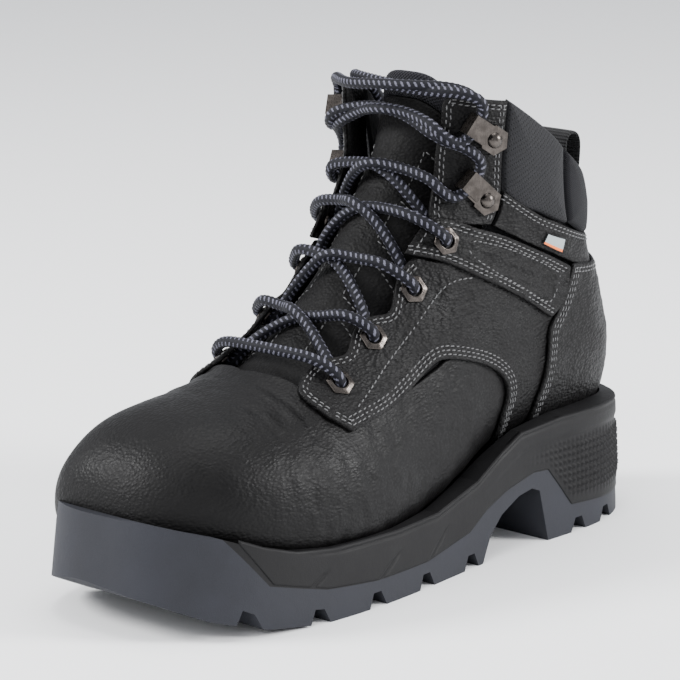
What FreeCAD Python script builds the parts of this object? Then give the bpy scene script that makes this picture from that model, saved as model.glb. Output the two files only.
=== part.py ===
"""Steel toe work boot, left foot, six inch height.

The boot stands on z = 0 with its toe towards -Y and its outer (lateral) side towards +X.
The upper is a set of leather layers over one last: the last is a row of cross sections,
each an egg-shaped curve between a point of the bottom line and a point of the ridge line.
A place on the last is (u, t, side): u runs from the toe round under the foot and up the
back of the shaft, t runs from the bottom or back line (0) up to the ridge (1), and side
is +1 on the outer and -1 on the inner half.  Every upper piece is a region of the last
between two depths, so pieces stay layered when the last is graded to another size.
"""
import FreeCAD, Part
import Sketcher
import math
import os
from FreeCAD import Placement, Rotation, Vector

os.makedirs("parts", exist_ok=True)
doc = FreeCAD.newDocument("work_boot")

# ---------------------------------------------------------------- driving dimensions, mm
SIZES = (
    ("sole_length", 302.0, "outsole, toe to heel"),
    ("ball_width", 115.0, "outsole across the ball of the foot"),
    ("shaft_height", 193.0, "ground to the top of the hook panels"),
    ("leather", 1.7, "upper leather"),
    ("overlay", 1.4, "sewn-on leather overlays"),
    ("lining_cloth", 2.0, "lining with its foam"),
    ("layer_gap", 0.3, "clearance between layers of the upper"),
    ("toe_steel", 1.7, "wall of the toe cap"),
    ("stiffener", 1.6, "heel stiffener board"),
    ("lug_depth", 6.0, "tread depth"),
    ("lug_gap", 9.0, "gap between two lugs"),
    ("footbed_foam", 4.0, "footbed"),
    ("insole_card", 2.2, "insole board"),
    ("lace_round", 4.6, "lace diameter"),
    ("aglet_tube", 5.0, "aglet diameter"),
    ("aglet_length", 22.0, "aglet length"),
    ("eyelet_bore", 6.3, "eyelet hole"),
    ("eyelet_flat", 10.6, "eyelet flange across flats"),
    ("eyelet_flange", 0.7, "eyelet flange thickness"),
    ("eyelet_barrel", 0.5, "eyelet barrel wall"),
    ("hook_base", 11.0, "lace hook base across flats"),
    ("hook_metal", 1.2, "lace hook metal"),
    ("hook_mouth", 5.4, "lace hook clear mouth"),
    ("hook_plate", 9.0, "lace hook plate width"),
    ("rivet_head", 6.6, "hook rivet head"),
    ("rivet_crown", 1.8, "hook rivet head height"),
    ("rivet_shank", 3.0, "hook rivet shank"),
    ("webbing", 1.6, "pull loop webbing thickness"),
    ("loop_width", 22.0, "pull loop webbing width"),
    ("loop_rise", 20.0, "pull loop above its seam"),
    ("label_width", 15.0, "woven label"),
    ("label_height", 9.0, "woven label"),
    ("label_cloth", 0.7, "woven label thickness"),
    ("tongue_foam", 7.0, "tongue padding"),
    ("gusset_leather", 1.0, "tongue gusset"),
)
sheet = doc.addObject("Spreadsheet::Sheet", "Sizes")
for line, (alias, value, meaning) in enumerate(SIZES, start=1):
    sheet.set("A%d" % line, str(value))
    sheet.set("B%d" % line, meaning)
    sheet.setAlias("A%d" % line, alias)
doc.recompute()


def size(alias):
    return float(sheet.get(alias))


# the sample size that the last and the sole are drawn at; grading scales each direction
SAMPLE_LENGTH, SAMPLE_WIDTH, SAMPLE_HEIGHT = 302.0, 115.0, 193.0
along = size("sole_length") / SAMPLE_LENGTH
across = size("ball_width") / SAMPLE_WIDTH
up = size("shaft_height") / SAMPLE_HEIGHT
gap = size("layer_gap")

# ---------------------------------------------------------------- the last
# bottom y, z; ridge y, z; half width outer, inner; place of the widest point; corner
# fullness below, above; centre x
LAST = (
    (-141.0, 40, -141.0, 40, 0, 0, .45, 2.2, 2.2, -8),
    (-138.5, 30, -138.0, 58, 24, 22, .45, 2.2, 2.3, -8),
    (-128.0, 24, -126.0, 72, 39, 32, .42, 2.3, 2.4, -6.5),
    (-111.0, 20, -108.0, 80, 49, 40, .38, 2.5, 2.4, -4),
    (-90.0, 17, -86.0, 84, 53, 45, .34, 2.7, 2.3, -1),
    (-66.0, 15, -64.0, 90, 55, 48, .30, 2.8, 2.1, 0),
    (-38.0, 15, -43.0, 102, 54, 48, .27, 2.8, 1.9, 0),
    (-8.0, 17, -24.0, 119, 49, 46, .26, 2.8, 1.85, 0),
    (25.0, 27, -8.0, 136, 45, 43.5, .27, 2.7, 1.9, 0),
    (60.0, 37.5, 2.0, 151, 41.7, 40.8, .34, 2.5, 2.05, 0),
    (98.0, 38.5, 8.0, 163, 39.6, 39.6, .42, 2.4, 2.2, 0),
    (131.0, 43, 12.0, 174, 38.2, 38.2, .46, 2.3, 2.35, 0),
    (140.0, 65, 13.5, 182, 38.2, 38.2, .48, 2.3, 2.5, 0),
    (132.0, 94, 14.5, 190, 38.8, 38.8, .50, 2.3, 2.5, 0),
    (123.8, 124, 15.5, 198, 39.3, 39.3, .50, 2.3, 2.5, 0),
    (119.8, 162, 16.5, 212, 40.3, 40.3, .50, 2.3, 2.5, 0),
)
STEPS = len(LAST) - 1
# middle of the boot's box in plan, in the sample size
BOX_MIDDLE = (2.55, 0.65)
RING = 48


def bends(values):
    """Second differences of the natural cubic spline through evenly spaced values."""
    count = len(values)
    lower, right = [0.0] * count, [0.0] * count
    for i in range(1, count - 1):
        pivot = 4.0 - lower[i - 1]
        lower[i] = 1.0 / pivot
        change = 6.0 * (values[i - 1] - 2.0 * values[i] + values[i + 1])
        right[i] = (change - right[i - 1]) / pivot
    bend = [0.0] * count
    for i in range(count - 2, 0, -1):
        bend[i] = right[i] - lower[i] * bend[i + 1]
    return bend


COLUMNS = [[row[k] for row in LAST] for k in range(len(LAST[0]))]
BENDS = [bends(column) for column in COLUMNS]


def station(u):
    """The ten section values at u, by the natural cubic spline, graded to size."""
    place = min(max(u, 0.0), 1.0) * STEPS
    i = min(int(place), STEPS - 1)
    b = place - i
    a = 1.0 - b
    row = [
        a * c[i] + b * c[i + 1] + ((a ** 3 - a) * d[i] + (b ** 3 - b) * d[i + 1]) / 6.0
        for c, d in zip(COLUMNS, BENDS)
    ]
    for k, grade in enumerate((along, up, along, up, across, across)):
        row[k] *= grade
    row[9] *= across
    return row


def section(u, side, grow=0.0):
    """Points of one half section from the bottom or back line to the ridge."""
    yb, zb, yt, zt, outer, inner, widest, low, high, centre = station(u)
    reach = math.hypot(yt - yb, zt - zb) or 1.0
    yb, yt = yb - grow * (yt - yb) / reach, yt + grow * (yt - yb) / reach
    zb, zt = zb - grow * (zt - zb) / reach, zt + grow * (zt - zb) / reach
    half = max(outer if side > 0 else inner, 0.0) + grow
    points = []
    for k in range(RING + 1):
        angle = math.pi * k / RING
        power = 2.0 / (low if 2 * k <= RING else high)
        lift = abs(math.cos(angle)) ** power
        s = widest - widest * lift if 2 * k <= RING else widest + (1 - widest) * lift
        x = centre + side * half * max(math.sin(angle), 0.0) ** power
        points.append(Vector(x, yb + s * (yt - yb), zb + s * (zt - zb)))
    return points


rings = {}


def skin(u, t, side):
    """The point of the last at (u, t, side); t is a share of the section's length."""
    key = (round(u, 6), side)
    if key not in rings:
        points = section(u, side)
        lengths = [0.0]
        for a, b in zip(points, points[1:]):
            lengths.append(lengths[-1] + a.distanceToPoint(b))
        rings[key] = points, [length / lengths[-1] for length in lengths]
    points, lengths = rings[key]
    t = min(max(t, 0.0), 1.0)
    k = 1
    while k < RING and lengths[k] < t:
        k += 1
    part = (t - lengths[k - 1]) / (lengths[k] - lengths[k - 1])
    return points[k - 1] + (points[k] - points[k - 1]) * part


def outward(u, t, side):
    """The unit normal of the last, pointing out of the boot."""
    step = 0.012
    du = skin(min(u + step, 1.0), t, side) - skin(max(u - step, 0.004), t, side)
    dt = skin(u, min(t + 2 * step, 1.0), side) - skin(u, max(t - 2 * step, 0.0), side)
    normal = du.cross(dt)
    normal.normalize()
    row = station(u)
    middle = Vector(row[9], (row[0] + row[2]) / 2, (row[1] + row[3]) / 2)
    return normal if normal.dot(skin(u, t, side) - middle) > 0 else normal * -1


def at(u, t, side, depth):
    """The point that stands `depth` outside the last at (u, t, side)."""
    return skin(u, t, side) + outward(u, t, side) * depth


# ---------------------------------------------------------------- making solids
nodes = []


def keep(thing, label):
    """Give a document object its node name and list it for export."""
    thing.Label = label
    nodes.append(thing)
    return thing


def feature(label, shape):
    """A piece whose shape is set directly, in its own Part::Feature."""
    thing = doc.addObject("Part::Feature", label)
    thing.Shape = shape
    thing.Placement = Placement()
    return keep(thing, label)


def closed(faces):
    """One solid from the faces that enclose it."""
    shell = Part.makeShell(faces)
    shell.sewShape()
    solid = Part.makeSolid(shell)
    if solid.Volume < 0:
        solid.reverse()
    return solid


def between(low, high):
    """The solid between two grids of points that match one to one."""
    sheets = []
    for grid in (low, high):
        surface = Part.BSplineSurface()
        surface.interpolate(grid)
        sheets.append(surface)
    a, b = sheets
    first_u, last_u, first_v, last_v = a.bounds()
    far_u, end_u, far_v, end_v = b.bounds()
    faces = [a.toShape(), b.toShape()]
    for near, away in ((first_u, far_u), (last_u, end_u)):
        faces.append(Part.makeRuledSurface(a.uIso(near).toShape(), b.uIso(away).toShape()))
    for near, away in ((first_v, far_v), (last_v, end_v)):
        faces.append(Part.makeRuledSurface(a.vIso(near).toShape(), b.vIso(away).toShape()))
    return closed(faces)


def layer(grid, inner, outer):
    """The solid between depths inner and outer over a grid of (u, t, side) places."""
    low = [[at(u, t, side, inner) for u, t, side in line] for line in grid]
    high = [[at(u, t, side, outer) for u, t, side in line] for line in grid]
    return between(low, high)


def spread(first, last, count):
    """Evenly spaced numbers from first to last."""
    return [first + (last - first) * k / (count - 1) for k in range(count)]


def along_curve(points, share):
    """The point at a share of a smooth curve through the given (u, t) points."""
    place = min(max(share, 0.0), 1.0) * (len(points) - 1)
    i = min(int(place), len(points) - 2)
    f = place - i
    near = [points[min(max(k, 0), len(points) - 1)] for k in range(i - 1, i + 3)]
    mixed = []
    for axis in range(2):
        a, b, c, d = (p[axis] for p in near)
        mixed.append(b + 0.5 * f * (c - a + f * (2 * a - 5 * b + 4 * c - d
                                                 + f * (3 * (b - c) + d - a))))
    return mixed


def region(side, edge_a, edge_b, rows, columns):
    """A grid of places between two edge curves on one side of the boot."""
    grid = []
    for share in spread(0, 1, rows):
        (ua, ta), (ub, tb) = along_curve(edge_a, share), along_curve(edge_b, share)
        grid.append([(ua + (ub - ua) * q, ta + (tb - ta) * q, side)
                     for q in spread(0, 1, columns)])
    return grid


def wrapped(middle, edge, rows, columns):
    """A grid of places that crosses the middle line from the inner to the outer side."""
    grid = []
    for share in spread(0, 1, rows):
        (ua, ta), (ub, tb) = along_curve(middle, share), along_curve(edge, share)
        grid.append([(ua + (ub - ua) * abs(q), ta + (tb - ta) * abs(q), 1 if q > 0 else -1)
                     for q in spread(-1, 1, columns)])
    return grid


# ---------------------------------------------------------------- depths of the layers
vamp_out = 0.0
vamp_in = vamp_out - size("leather")
seam_gap = 1.5 * gap
quarter_in = vamp_out + seam_gap
quarter_out = quarter_in + size("leather")
overlay_in = quarter_out + seam_gap
overlay_out = overlay_in + size("overlay")
cap_out = vamp_in - gap
cap_in = cap_out - size("toe_steel")
toe_lining_out = cap_in - gap
pad_out = quarter_out + 1.0
back_lining_out = vamp_in - 2 * gap

# ---------------------------------------------------------------- upper pieces
SIDES = (("lateral", 1), ("medial", -1))
TOE_START = 0.018

# the rear edge of the vamp, from the lasting edge up to the throat
VAMP_REAR = ((.62, .16), (.63, .30), (.625, .42), (.59, .52), (.49, .60), (.390, .68),
             (.362, .76), (.348, .88), (.334, 1.0))
# the quarter: its lower edge, and its throat edge that runs on under the ankle strap
QUARTER_LOW = ((.372, .645), (.409, .632), (.45, .612), (.497, .602), (.538, .582),
               (.575, .50), (.607, .415), (.609, .34), (.593, .28), (.584, .20))
QUARTER_HIGH = ((.340, .79), (.377, .843), (.428, .806), (.472, .819), (.525, .79),
                (.60, .745), (.68, .63), (.735, .46), (.70, .33), (.66, .20))
STRAP_LOW = ((.568, .826), (.588, .776), (.615, .716), (.646, .639), (.672, .579),
             (.696, .512), (.717, .445))
STRAP_HIGH = ((.627, .819), (.646, .812), (.672, .783), (.703, .722), (.742, .65),
              (.788, .522), (.815, .420))
COUNTER_EDGE = ((.625, .17), (.641, .254), (.660, .304), (.690, .385), (.717, .432),
                (.770, .430), (.820, .405))
COUNTER_LOW = ((.625, .170), (.665, .120), (.710, .060), (.735, .0))
COUNTER_HIGH = ((.820, .405), (.838, .360), (.888, .180), (.921, .0))
PANEL_FRONT = ((.940, .816), (.878, .831), (.790, .860), (.717, .853), (.660, .825),
               (.640, .790))
PANEL_BACK = ((.984, .628), (.945, .640), (.886, .660), (.830, .675), (.780, .688),
              (.735, .695))
# the collar band, from the hook panel to the back line: (u, t) of its two edges
BAND_LOW = ((.742, .660), (.800, .500), (.832, .370), (.880, .180), (.913, .0))
BAND_HIGH = ((.815, .650), (.847, .528), (.870, .431), (.915, .200), (.937, .0))
COLLAR_LOW = ((.820, .655), (.830, .60), (.853, .528), (.876, .431), (.888, .375))
COLLAR_HIGH = ((.986, .615), (.984, .562), (.982, .498), (.979, .428), (.976, .385))
COLLAR_BACK_EDGE = ((.896, .355), (.920, .365), (.948, .37), (.972, .365))
COLLAR_BACK_MIDDLE = ((.944, .0), (.953, .0), (.962, .0), (.972, .0))


def mirrored(half):
    """A curve with signed t that runs from the outer half over the back line."""
    return list(half) + [(u, -t) for u, t in reversed(half[:-1])]


def patched(low, high, start, rows, columns):
    """A grid over the back line whose four edges are curves: a Coons patch in (u, t)."""
    end = [(u, -t) for u, t in start]
    grid = []
    for share in spread(0, 1, rows):
        line = []
        for q in spread(0, 1, columns):
            low_at, high_at = along_curve(low, share), along_curve(high, share)
            start_at, end_at = along_curve(start, q), along_curve(end, q)
            place = []
            for k in range(2):
                ruled = (1 - q) * low_at[k] + q * high_at[k]
                swept = (1 - share) * start_at[k] + share * end_at[k]
                corners = ((1 - share) * ((1 - q) * start[0][k] + q * start[-1][k])
                           + share * ((1 - q) * end[0][k] + q * end[-1][k]))
                place.append(ruled + swept - corners)
            line.append((place[0], abs(place[1]), 1 if place[1] > 0 else -1))
        grid.append(line)
    return grid


def crossing(low, high, rows, columns):
    """A grid of places between two curves that both cross the back line."""
    grid = []
    for share in spread(0, 1, rows):
        (ua, ta), (ub, tb) = along_curve(low, share), along_curve(high, share)
        line = [(ua + (ub - ua) * q, ta + (tb - ta) * q) for q in spread(0, 1, columns)]
        grid.append([(u, abs(t), 1 if t > 0 else -1) for u, t in line])
    return grid


vamp_grid = []
for k in spread(-1, 1, 43):
    rear, t = along_curve(VAMP_REAR, 1 - abs(k))
    vamp_grid.append([(TOE_START + (rear - TOE_START) * p ** 1.25, t, 1 if k > 0 else -1)
                      for p in spread(0, 1, 24)])
feature("vamp", layer(vamp_grid, vamp_in, vamp_out))

CAP_REAR = 0.205
cap_grid = [[(u, 1 - abs(k) * 0.70, 1 if k > 0 else -1) for u in spread(.035, CAP_REAR, 9)]
            for k in spread(-1, 1, 23)]
feature("steel_toe_cap", layer(cap_grid, cap_in, cap_out))
trim_grid = [[(u, 1 - abs(k) * 0.66, 1 if k > 0 else -1)
              for u in spread(CAP_REAR + .004, CAP_REAR + .026, 3)] for k in spread(-1, 1, 21)]
feature("toe_cap_edge_trim", layer(trim_grid, cap_in, cap_out - gap))

for name, side in SIDES:
    quarter = layer(region(side, QUARTER_LOW, QUARTER_HIGH, 26, 7), quarter_in, quarter_out)
    strap = layer(region(side, STRAP_LOW, STRAP_HIGH, 16, 5), overlay_in, overlay_out)
    feature("quarter_" + name, quarter)
    feature("ankle_strap_" + name, strap)
counter_grid = patched(mirrored(COUNTER_LOW), mirrored(COUNTER_HIGH), COUNTER_EDGE, 25, 13)
feature("heel_counter_cover", layer(counter_grid, overlay_in, overlay_out))
stiffener_grid = [[(u, abs(k) * .40, 1 if k > 0 else -1) for u in spread(.70, .855, 9)]
                  for k in spread(-1, 1, 19)]
feature("heel_stiffener", layer(stiffener_grid, vamp_in, vamp_in + size("stiffener")))

for name, side in SIDES:
    panel_grid = region(side, PANEL_BACK, PANEL_FRONT, 19, 6)
    feature("hook_panel_" + name, layer(panel_grid, quarter_in, quarter_out))
    pad_grid = region(side, COLLAR_LOW, COLLAR_HIGH, 9, 7)
    feature("collar_pad_" + name, layer(pad_grid, vamp_in, pad_out))
back_grid = wrapped(COLLAR_BACK_MIDDLE, COLLAR_BACK_EDGE, 6, 17)
feature("collar_back_pad", layer(back_grid, vamp_in, pad_out))
band_grid = crossing(mirrored(BAND_LOW), mirrored(BAND_HIGH), 31, 4)
feature("collar_band", layer(band_grid, quarter_in, quarter_out))


# ---------------------------------------------------------------- lining, tongue, gussets
def ramp(value, first, last):
    """0 up to first, 1 from last on, smooth between."""
    f = min(max((value - first) / (last - first), 0.0), 1.0)
    return f * f * (3 - 2 * f)


def lining_depth(u):
    return toe_lining_out + (back_lining_out - toe_lining_out) * ramp(u, .24, .34)


def lining_edge(u):
    """Where the lining ends, as t: at the ridge in the toe, below the throat behind it."""
    return .985 + (.690 - .985) * ramp(u, .30, .40)


def tongue_depth(u):
    """How far the tongue's face lies inside the last; it leans back towards its top."""
    return -size("lace_round") - 1.9 - 10.0 * ramp(u, .55, 1.0)


def lining_piece(first, last, rows):
    low, high = [], []
    for k in spread(-1, 1, 41):
        line = [(u, abs(k) * lining_edge(u), 1 if k > 0 else -1)
                for u in spread(first, last, rows)]
        high.append([at(*place, lining_depth(place[0])) for place in line])
        low.append([at(*place, lining_depth(place[0]) - size("lining_cloth"))
                    for place in line])
    return between(low, high)


feature("toe_lining", lining_piece(.05, .398, 20))
feature("quarter_lining", lining_piece(.400, .972, 30))

TONGUE_START, FACE_END, TOP_START, TONGUE_END = .352, .885, .889, .952
face_leather = 1.2


def tongue_edge(u):
    """Where the tongue ends at its sides, as t; it widens towards its top."""
    return .745 - .145 * ramp(u, .45, .80)


def tongue_layer(first, last, rows, outer, inner):
    """A layer over the ridge at depths measured from the tongue's face."""
    low, high = [], []
    for k in spread(-1, 1, 17):
        line = [(u, 1 - abs(k) * (1 - tongue_edge(u)), 1 if k > 0 else -1)
                for u in spread(first, last, rows)]
        high.append([at(*place, tongue_depth(place[0]) + outer) for place in line])
        low.append([at(*place, tongue_depth(place[0]) + inner) for place in line])
    return between(low, high)


pad_top = -face_leather - gap
feature("tongue_face", tongue_layer(TONGUE_START, FACE_END, 16, 0, -face_leather))
feature("tongue_top", tongue_layer(TOP_START, TONGUE_END, 5, 0.4, -face_leather))
feature("tongue_pad", tongue_layer(TONGUE_START, TONGUE_END - .006, 18, pad_top,
                                   pad_top - size("tongue_foam")))
for name, side in SIDES:
    low, high = [], []
    for u in spread(.404, .56, 9):
        near = at(u, .716, side, back_lining_out - 2 * gap)
        far = near - outward(u, 1.0, side) * size("tongue_foam")
        run = at(u + .01, .716, side, 0) - at(u - .01, .716, side, 0)
        thick = (far - near).cross(run).normalize() * size("gusset_leather") / 2
        line = [near + (far - near) * q for q in spread(0, 1, 3)]
        high.append([point + thick for point in line])
        low.append([point - thick for point in line])
    feature("gusset_" + name, between(low, high))


# ---------------------------------------------------------------- boards in the bottom
def board(low_rise, high_rise, first, last, inset):
    """A board across the inside of the boot between two heights over the bottom line."""
    edges = []
    for rise in (low_rise, high_rise):
        rows = []
        for u in spread(first, last, 18):
            ends = []
            for side in (1, -1):
                base, ridge = skin(u, 0, side), skin(u, 1, side)
                upward = (ridge - base).normalize()
                t = .02
                while (at(u, t, side, -inset) - base).dot(upward) < rise:
                    t += .006
                ends.append(at(u, t, side, -inset))
            rows.append([ends[0] + (ends[1] - ends[0]) * q for q in spread(0, 1, 5)])
        edges.append(rows)
    return between(*edges)


inside = -toe_lining_out + size("lining_cloth") + gap
board_low = inside + 1.2
board_high = board_low + size("insole_card")
bed_low = board_high + 2 * gap
feature("insole_board", board(board_low, board_high, .085, .745, inside))
feature("footbed", board(bed_low, bed_low + size("footbed_foam"), .09, .745, inside + .7))


# ---------------------------------------------------------------- sole
# outer and inner edge of the sole in plan: y, x, and how far the wall leans in over
# LEAN_HEIGHT
EDGE_OUTER = ((-149, 12, 5), (-139, 36, 5), (-122, 50, 5), (-98, 57.5, 5), (-72, 60, 5.5),
              (-45, 59.5, 5.5), (-18, 56.5, 4), (8, 52.5, 2.5), (36, 48.5, 1), (64, 46.5, .5),
              (92, 45.5, .5), (118, 41, 1), (138, 29.5, 3), (149, 14, 4.5))
EDGE_INNER = ((150, -12, 4.5), (139, -29.5, 3), (118, -41, 1), (92, -45, .5),
              (64, -44, .5), (36, -43.5, 1), (8, -46, 2.5), (-18, -49.5, 3.5),
              (-45, -53.5, 4), (-72, -55, 5), (-98, -52.5, 5), (-122, -45, 5), (-139, -35, 5),
              (-149, -17, 5))
LEAN_HEIGHT = 50.0
# side view of the sole, (y, z): ground line, outsole and midsole boundary, top of the wall
TREAD = ((-153, 25), (-146, 17), (-128, 8.5), (-106, 2.8), (-80, 0), (26, 0), (32, 11),
         (40, 18), (52, 23.5), (61, 25), (66, 23), (72, 0), (146, 0), (150, 2.5), (154, 7))
BOUNDARY = ((154, 8.5), (120, 10), (88, 12.5), (80, 22), (72, 31), (62, 31.5), (44, 27.5),
            (30, 22.5), (17, 15.5), (-14, 10.5), (-47, 10.5), (-76, 13), (-104, 19.5),
            (-121, 40))
BUMPER_TOP = ((-130, 42.5), (-141, 46), (-153, 47))
WALL_TOP = ((-121, 40), (-108, 35), (-93, 31), (-72, 28.7), (-33, 28), (-6, 29), (23, 36),
            (40, 45), (53, 51), (81, 53), (120, 52.5), (154, 50.5))


def graded_profile(points):
    return [Vector(0, y * along, z * up) for y, z in points]


def plan_outline(points, height):
    """A closed smooth outline through plan points, at a height, in four stretches."""
    curve = Part.BSplineCurve()
    curve.interpolate([Vector(point.x, point.y, height) for point in points],
                      PeriodicFlag=True)
    turn = curve.LastParameter - curve.FirstParameter
    ends = [curve.FirstParameter + turn * k / 4 for k in range(5)]
    return Part.Wire([curve.toShape(a, b) for a, b in zip(ends, ends[1:])])


edge_points = EDGE_OUTER + EDGE_INNER
base_points = [Vector(x * across, y * along, 0) for y, x, lean in edge_points]
block_top = size("shaft_height") * .4
top_points = []
for k, point in enumerate(base_points):
    run = base_points[(k + 1) % len(base_points)] - base_points[k - 1]
    inward = Vector(-run.y, run.x, 0).normalize()
    lean = edge_points[k][2] / LEAN_HEIGHT
    top_points.append(point + inward * lean * block_top)
outlines = []
for name, points, height in (("PlanLow", base_points, 0.0), ("PlanHigh", top_points, block_top)):
    outlines.append(doc.addObject("Part::Feature", name))
    outlines[-1].Shape = plan_outline(points, height)
block = doc.addObject("Part::Loft", "SoleBlock")
block.Sections = outlines
block.Solid = True
block.Ruled = True


def extruded(name, base, direction, length, centred):
    """A straight extrusion of a face, as a document object."""
    thing = doc.addObject("Part::Extrusion", name)
    thing.Base = base
    thing.DirMode = "Custom"
    thing.Dir = direction
    thing.Solid = True
    thing.Symmetric = centred
    thing.setExpression("LengthFwd", length)
    return thing


def side_face(name, points):
    thing = doc.addObject("Part::Feature", name)
    thing.Shape = Part.Face(Part.makePolygon(points + points[:1]))
    return thing


def combined(kind, name, base, tool):
    thing = doc.addObject(kind, name)
    thing.Base, thing.Tool = base, tool
    return thing


# the room that the lasted upper takes, one clearance larger than the last
rings_cut = []
for u in [.012, .036, .066] + spread(.10, .86, 24):
    grow = 3 * gap + overlay_out * ramp(u, .54, .62)
    left, right = section(u, 1, grow), section(u, -1, grow)
    curve = Part.BSplineCurve()
    curve.interpolate(left[::2] + right[-3:0:-2], PeriodicFlag=True)
    rings_cut.append(Part.Wire(curve.toShape()))
lasted = doc.addObject("Part::Feature", "LastedRoom")
lasted.Shape = Part.makeLoft(rings_cut, True, False)

outsole_side = graded_profile(TREAD + BOUNDARY + BUMPER_TOP)
midsole_side = graded_profile(BOUNDARY[::-1] + WALL_TOP[::-1][:-1])
low_band = extruded("OutsoleSide", side_face("OutsoleProfile", outsole_side),
                    Vector(1, 0, 0), "Sizes.ball_width * 2", True)
high_band = extruded("MidsoleSide", side_face("MidsoleProfile", midsole_side),
                     Vector(1, 0, 0), "Sizes.ball_width * 2", True)
outsole_block = combined("Part::Common", "OutsoleBlock", block, low_band)
midsole_block = combined("Part::Common", "MidsoleBlock", block, high_band)
keep(combined("Part::Cut", "Midsole", midsole_block, lasted), "midsole")

# tread: each gap is a trapezoid bar across one of three rows, rows parted by channels
ROW_EDGE = 21.0
CHANNEL = 4.5
slope_in = 2.2


def ground(y):
    """Height of the tread line at y, by straight pieces."""
    line = graded_profile(TREAD)
    for a, b in zip(line, line[1:]):
        if a.y <= y <= b.y:
            return a.z + (b.z - a.z) * (y - a.y) / (b.y - a.y)
    return 0.0


def bar(y, x_first, x_last, width, depth):
    """One gap of the tread, narrower at its root."""
    z = ground(y)
    tilt = ground(y + width / 2) - ground(y - width / 2)
    corners = (
        (y - width / 2 - slope_in, z - tilt / 2 - 3), (y + width / 2 + slope_in, z + tilt / 2 - 3),
        (y + width / 2 - slope_in, z + tilt / 2 + depth), (y - width / 2 + slope_in,
                                                          z - tilt / 2 + depth))
    wire = Part.makePolygon([Vector(x_first, cy, cz) for cy, cz in corners + corners[:1]])
    return Part.Face(wire).extrude(Vector(x_last - x_first, 0, 0))


reach = size("ball_width")
depth = size("lug_depth")
tools = []
row_edge = ROW_EDGE * across
for start, stop, count in ((-130, 34, 5), (82, 149.5, 3)):
    step = (stop - start) * along / count
    for k in range(count):
        y = start * along + (k + .5) * step
        wide = size("lug_gap")
        tools.append(bar(y, row_edge, reach, wide, depth))
        tools.append(bar(y, -reach, -row_edge, wide, depth))
        for shift in (0, step / 2):
            tools.append(bar(y - shift, -row_edge, row_edge, wide - 3, depth * .7))
    for side in (1, -1):
        low = min(side * row_edge, side * (row_edge - CHANNEL))
        line = [Vector(low, y * along, ground(y * along) - 3) for y in
                [start - 2] + [t[0] for t in TREAD if start < t[0] < stop] + [stop + 2]]
        top = [point + Vector(0, 0, 3 + depth * .7) for point in reversed(line)]
        face = Part.Face(Part.makePolygon(line + top + line[:1]))
        tools.append(face.extrude(Vector(CHANNEL, 0, 0)))
tread = doc.addObject("Part::Feature", "TreadGaps")
tread.Shape = tools[0].multiFuse(tools[1:])
outsole_tread = combined("Part::Cut", "OutsoleTread", outsole_block, tread)
keep(combined("Part::Cut", "Outsole", outsole_tread, lasted), "outsole")
doc.recompute()


# ---------------------------------------------------------------- sketched bodies
def body(name):
    return doc.addObject("PartDesign::Body", name)


def sketch_in(thing, role, name):
    """A sketch on one of the body's own origin planes."""
    sketch = thing.newObject("Sketcher::SketchObject", name)
    plane = [f for f in thing.Origin.OriginFeatures if f.Role == role][0]
    sketch.AttachmentSupport = (plane, "")
    sketch.MapMode = "FlatFace"
    return sketch


def rectangle(sketch, wide, tall):
    """A rectangle centred on the sketch origin, its sides bound to two expressions."""
    corners = [Vector(-5, -3, 0), Vector(5, -3, 0), Vector(5, 3, 0), Vector(-5, 3, 0)]
    for a, b in zip(corners, corners[1:] + corners[:1]):
        sketch.addGeometry(Part.LineSegment(a, b))
    for k in range(4):
        sketch.addConstraint(Sketcher.Constraint("Coincident", k, 2, (k + 1) % 4, 1))
    for kind, k in (("Horizontal", 0), ("Horizontal", 2), ("Vertical", 1), ("Vertical", 3)):
        sketch.addConstraint(Sketcher.Constraint(kind, k))
    sketch.addConstraint(Sketcher.Constraint("Symmetric", 0, 1, 2, 1, -1, 1))
    width = sketch.addConstraint(Sketcher.Constraint("DistanceX", 0, 1, 0, 2, 10))
    height = sketch.addConstraint(Sketcher.Constraint("DistanceY", 1, 1, 1, 2, 6))
    sketch.setExpression("Constraints[%d]" % width, wide)
    sketch.setExpression("Constraints[%d]" % height, tall)


def disc(sketch, radius):
    """A circle on the sketch origin with its radius bound to an expression."""
    sketch.addGeometry(Part.Circle(Vector(), Vector(0, 0, 1), 4))
    sketch.addConstraint(Sketcher.Constraint("Coincident", 0, 3, -1, 1))
    bound = sketch.addConstraint(Sketcher.Constraint("Radius", 0, 4))
    sketch.setExpression("Constraints[%d]" % bound, radius)


def padded(thing, sketch, length):
    pad = thing.newObject("PartDesign::Pad", thing.Name + "Pad")
    pad.Profile = sketch
    pad.setExpression("Length", length)
    return pad


# ---------------------------------------------------------------- eyelets and hooks
# places of the eyelets, from the throat upwards, and of the two lace hooks
EYELETS = ((.393, .759), (.466, .773), (.548, .756), (.635, .758))
HOOKS = ((.770, .775), (.915, .745))


def frame_at(u, t, side, depth):
    """A placement on the last: +X towards the throat, +Z out of the leather."""
    normal = outward(u, t, side)
    across_throat = (skin(u, t + .02, side) - skin(u, t - .02, side)).normalize()
    along_throat = normal.cross(across_throat)
    return Placement(at(u, t, side, depth),
                     Rotation(across_throat, along_throat, normal, "ZXY"))


def bound(kind, name, **sizes):
    thing = doc.addObject(kind, name)
    for prop, text in sizes.items():
        if isinstance(text, str):
            thing.setExpression(prop, text)
        else:
            setattr(thing, prop, text)
    return thing


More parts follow.
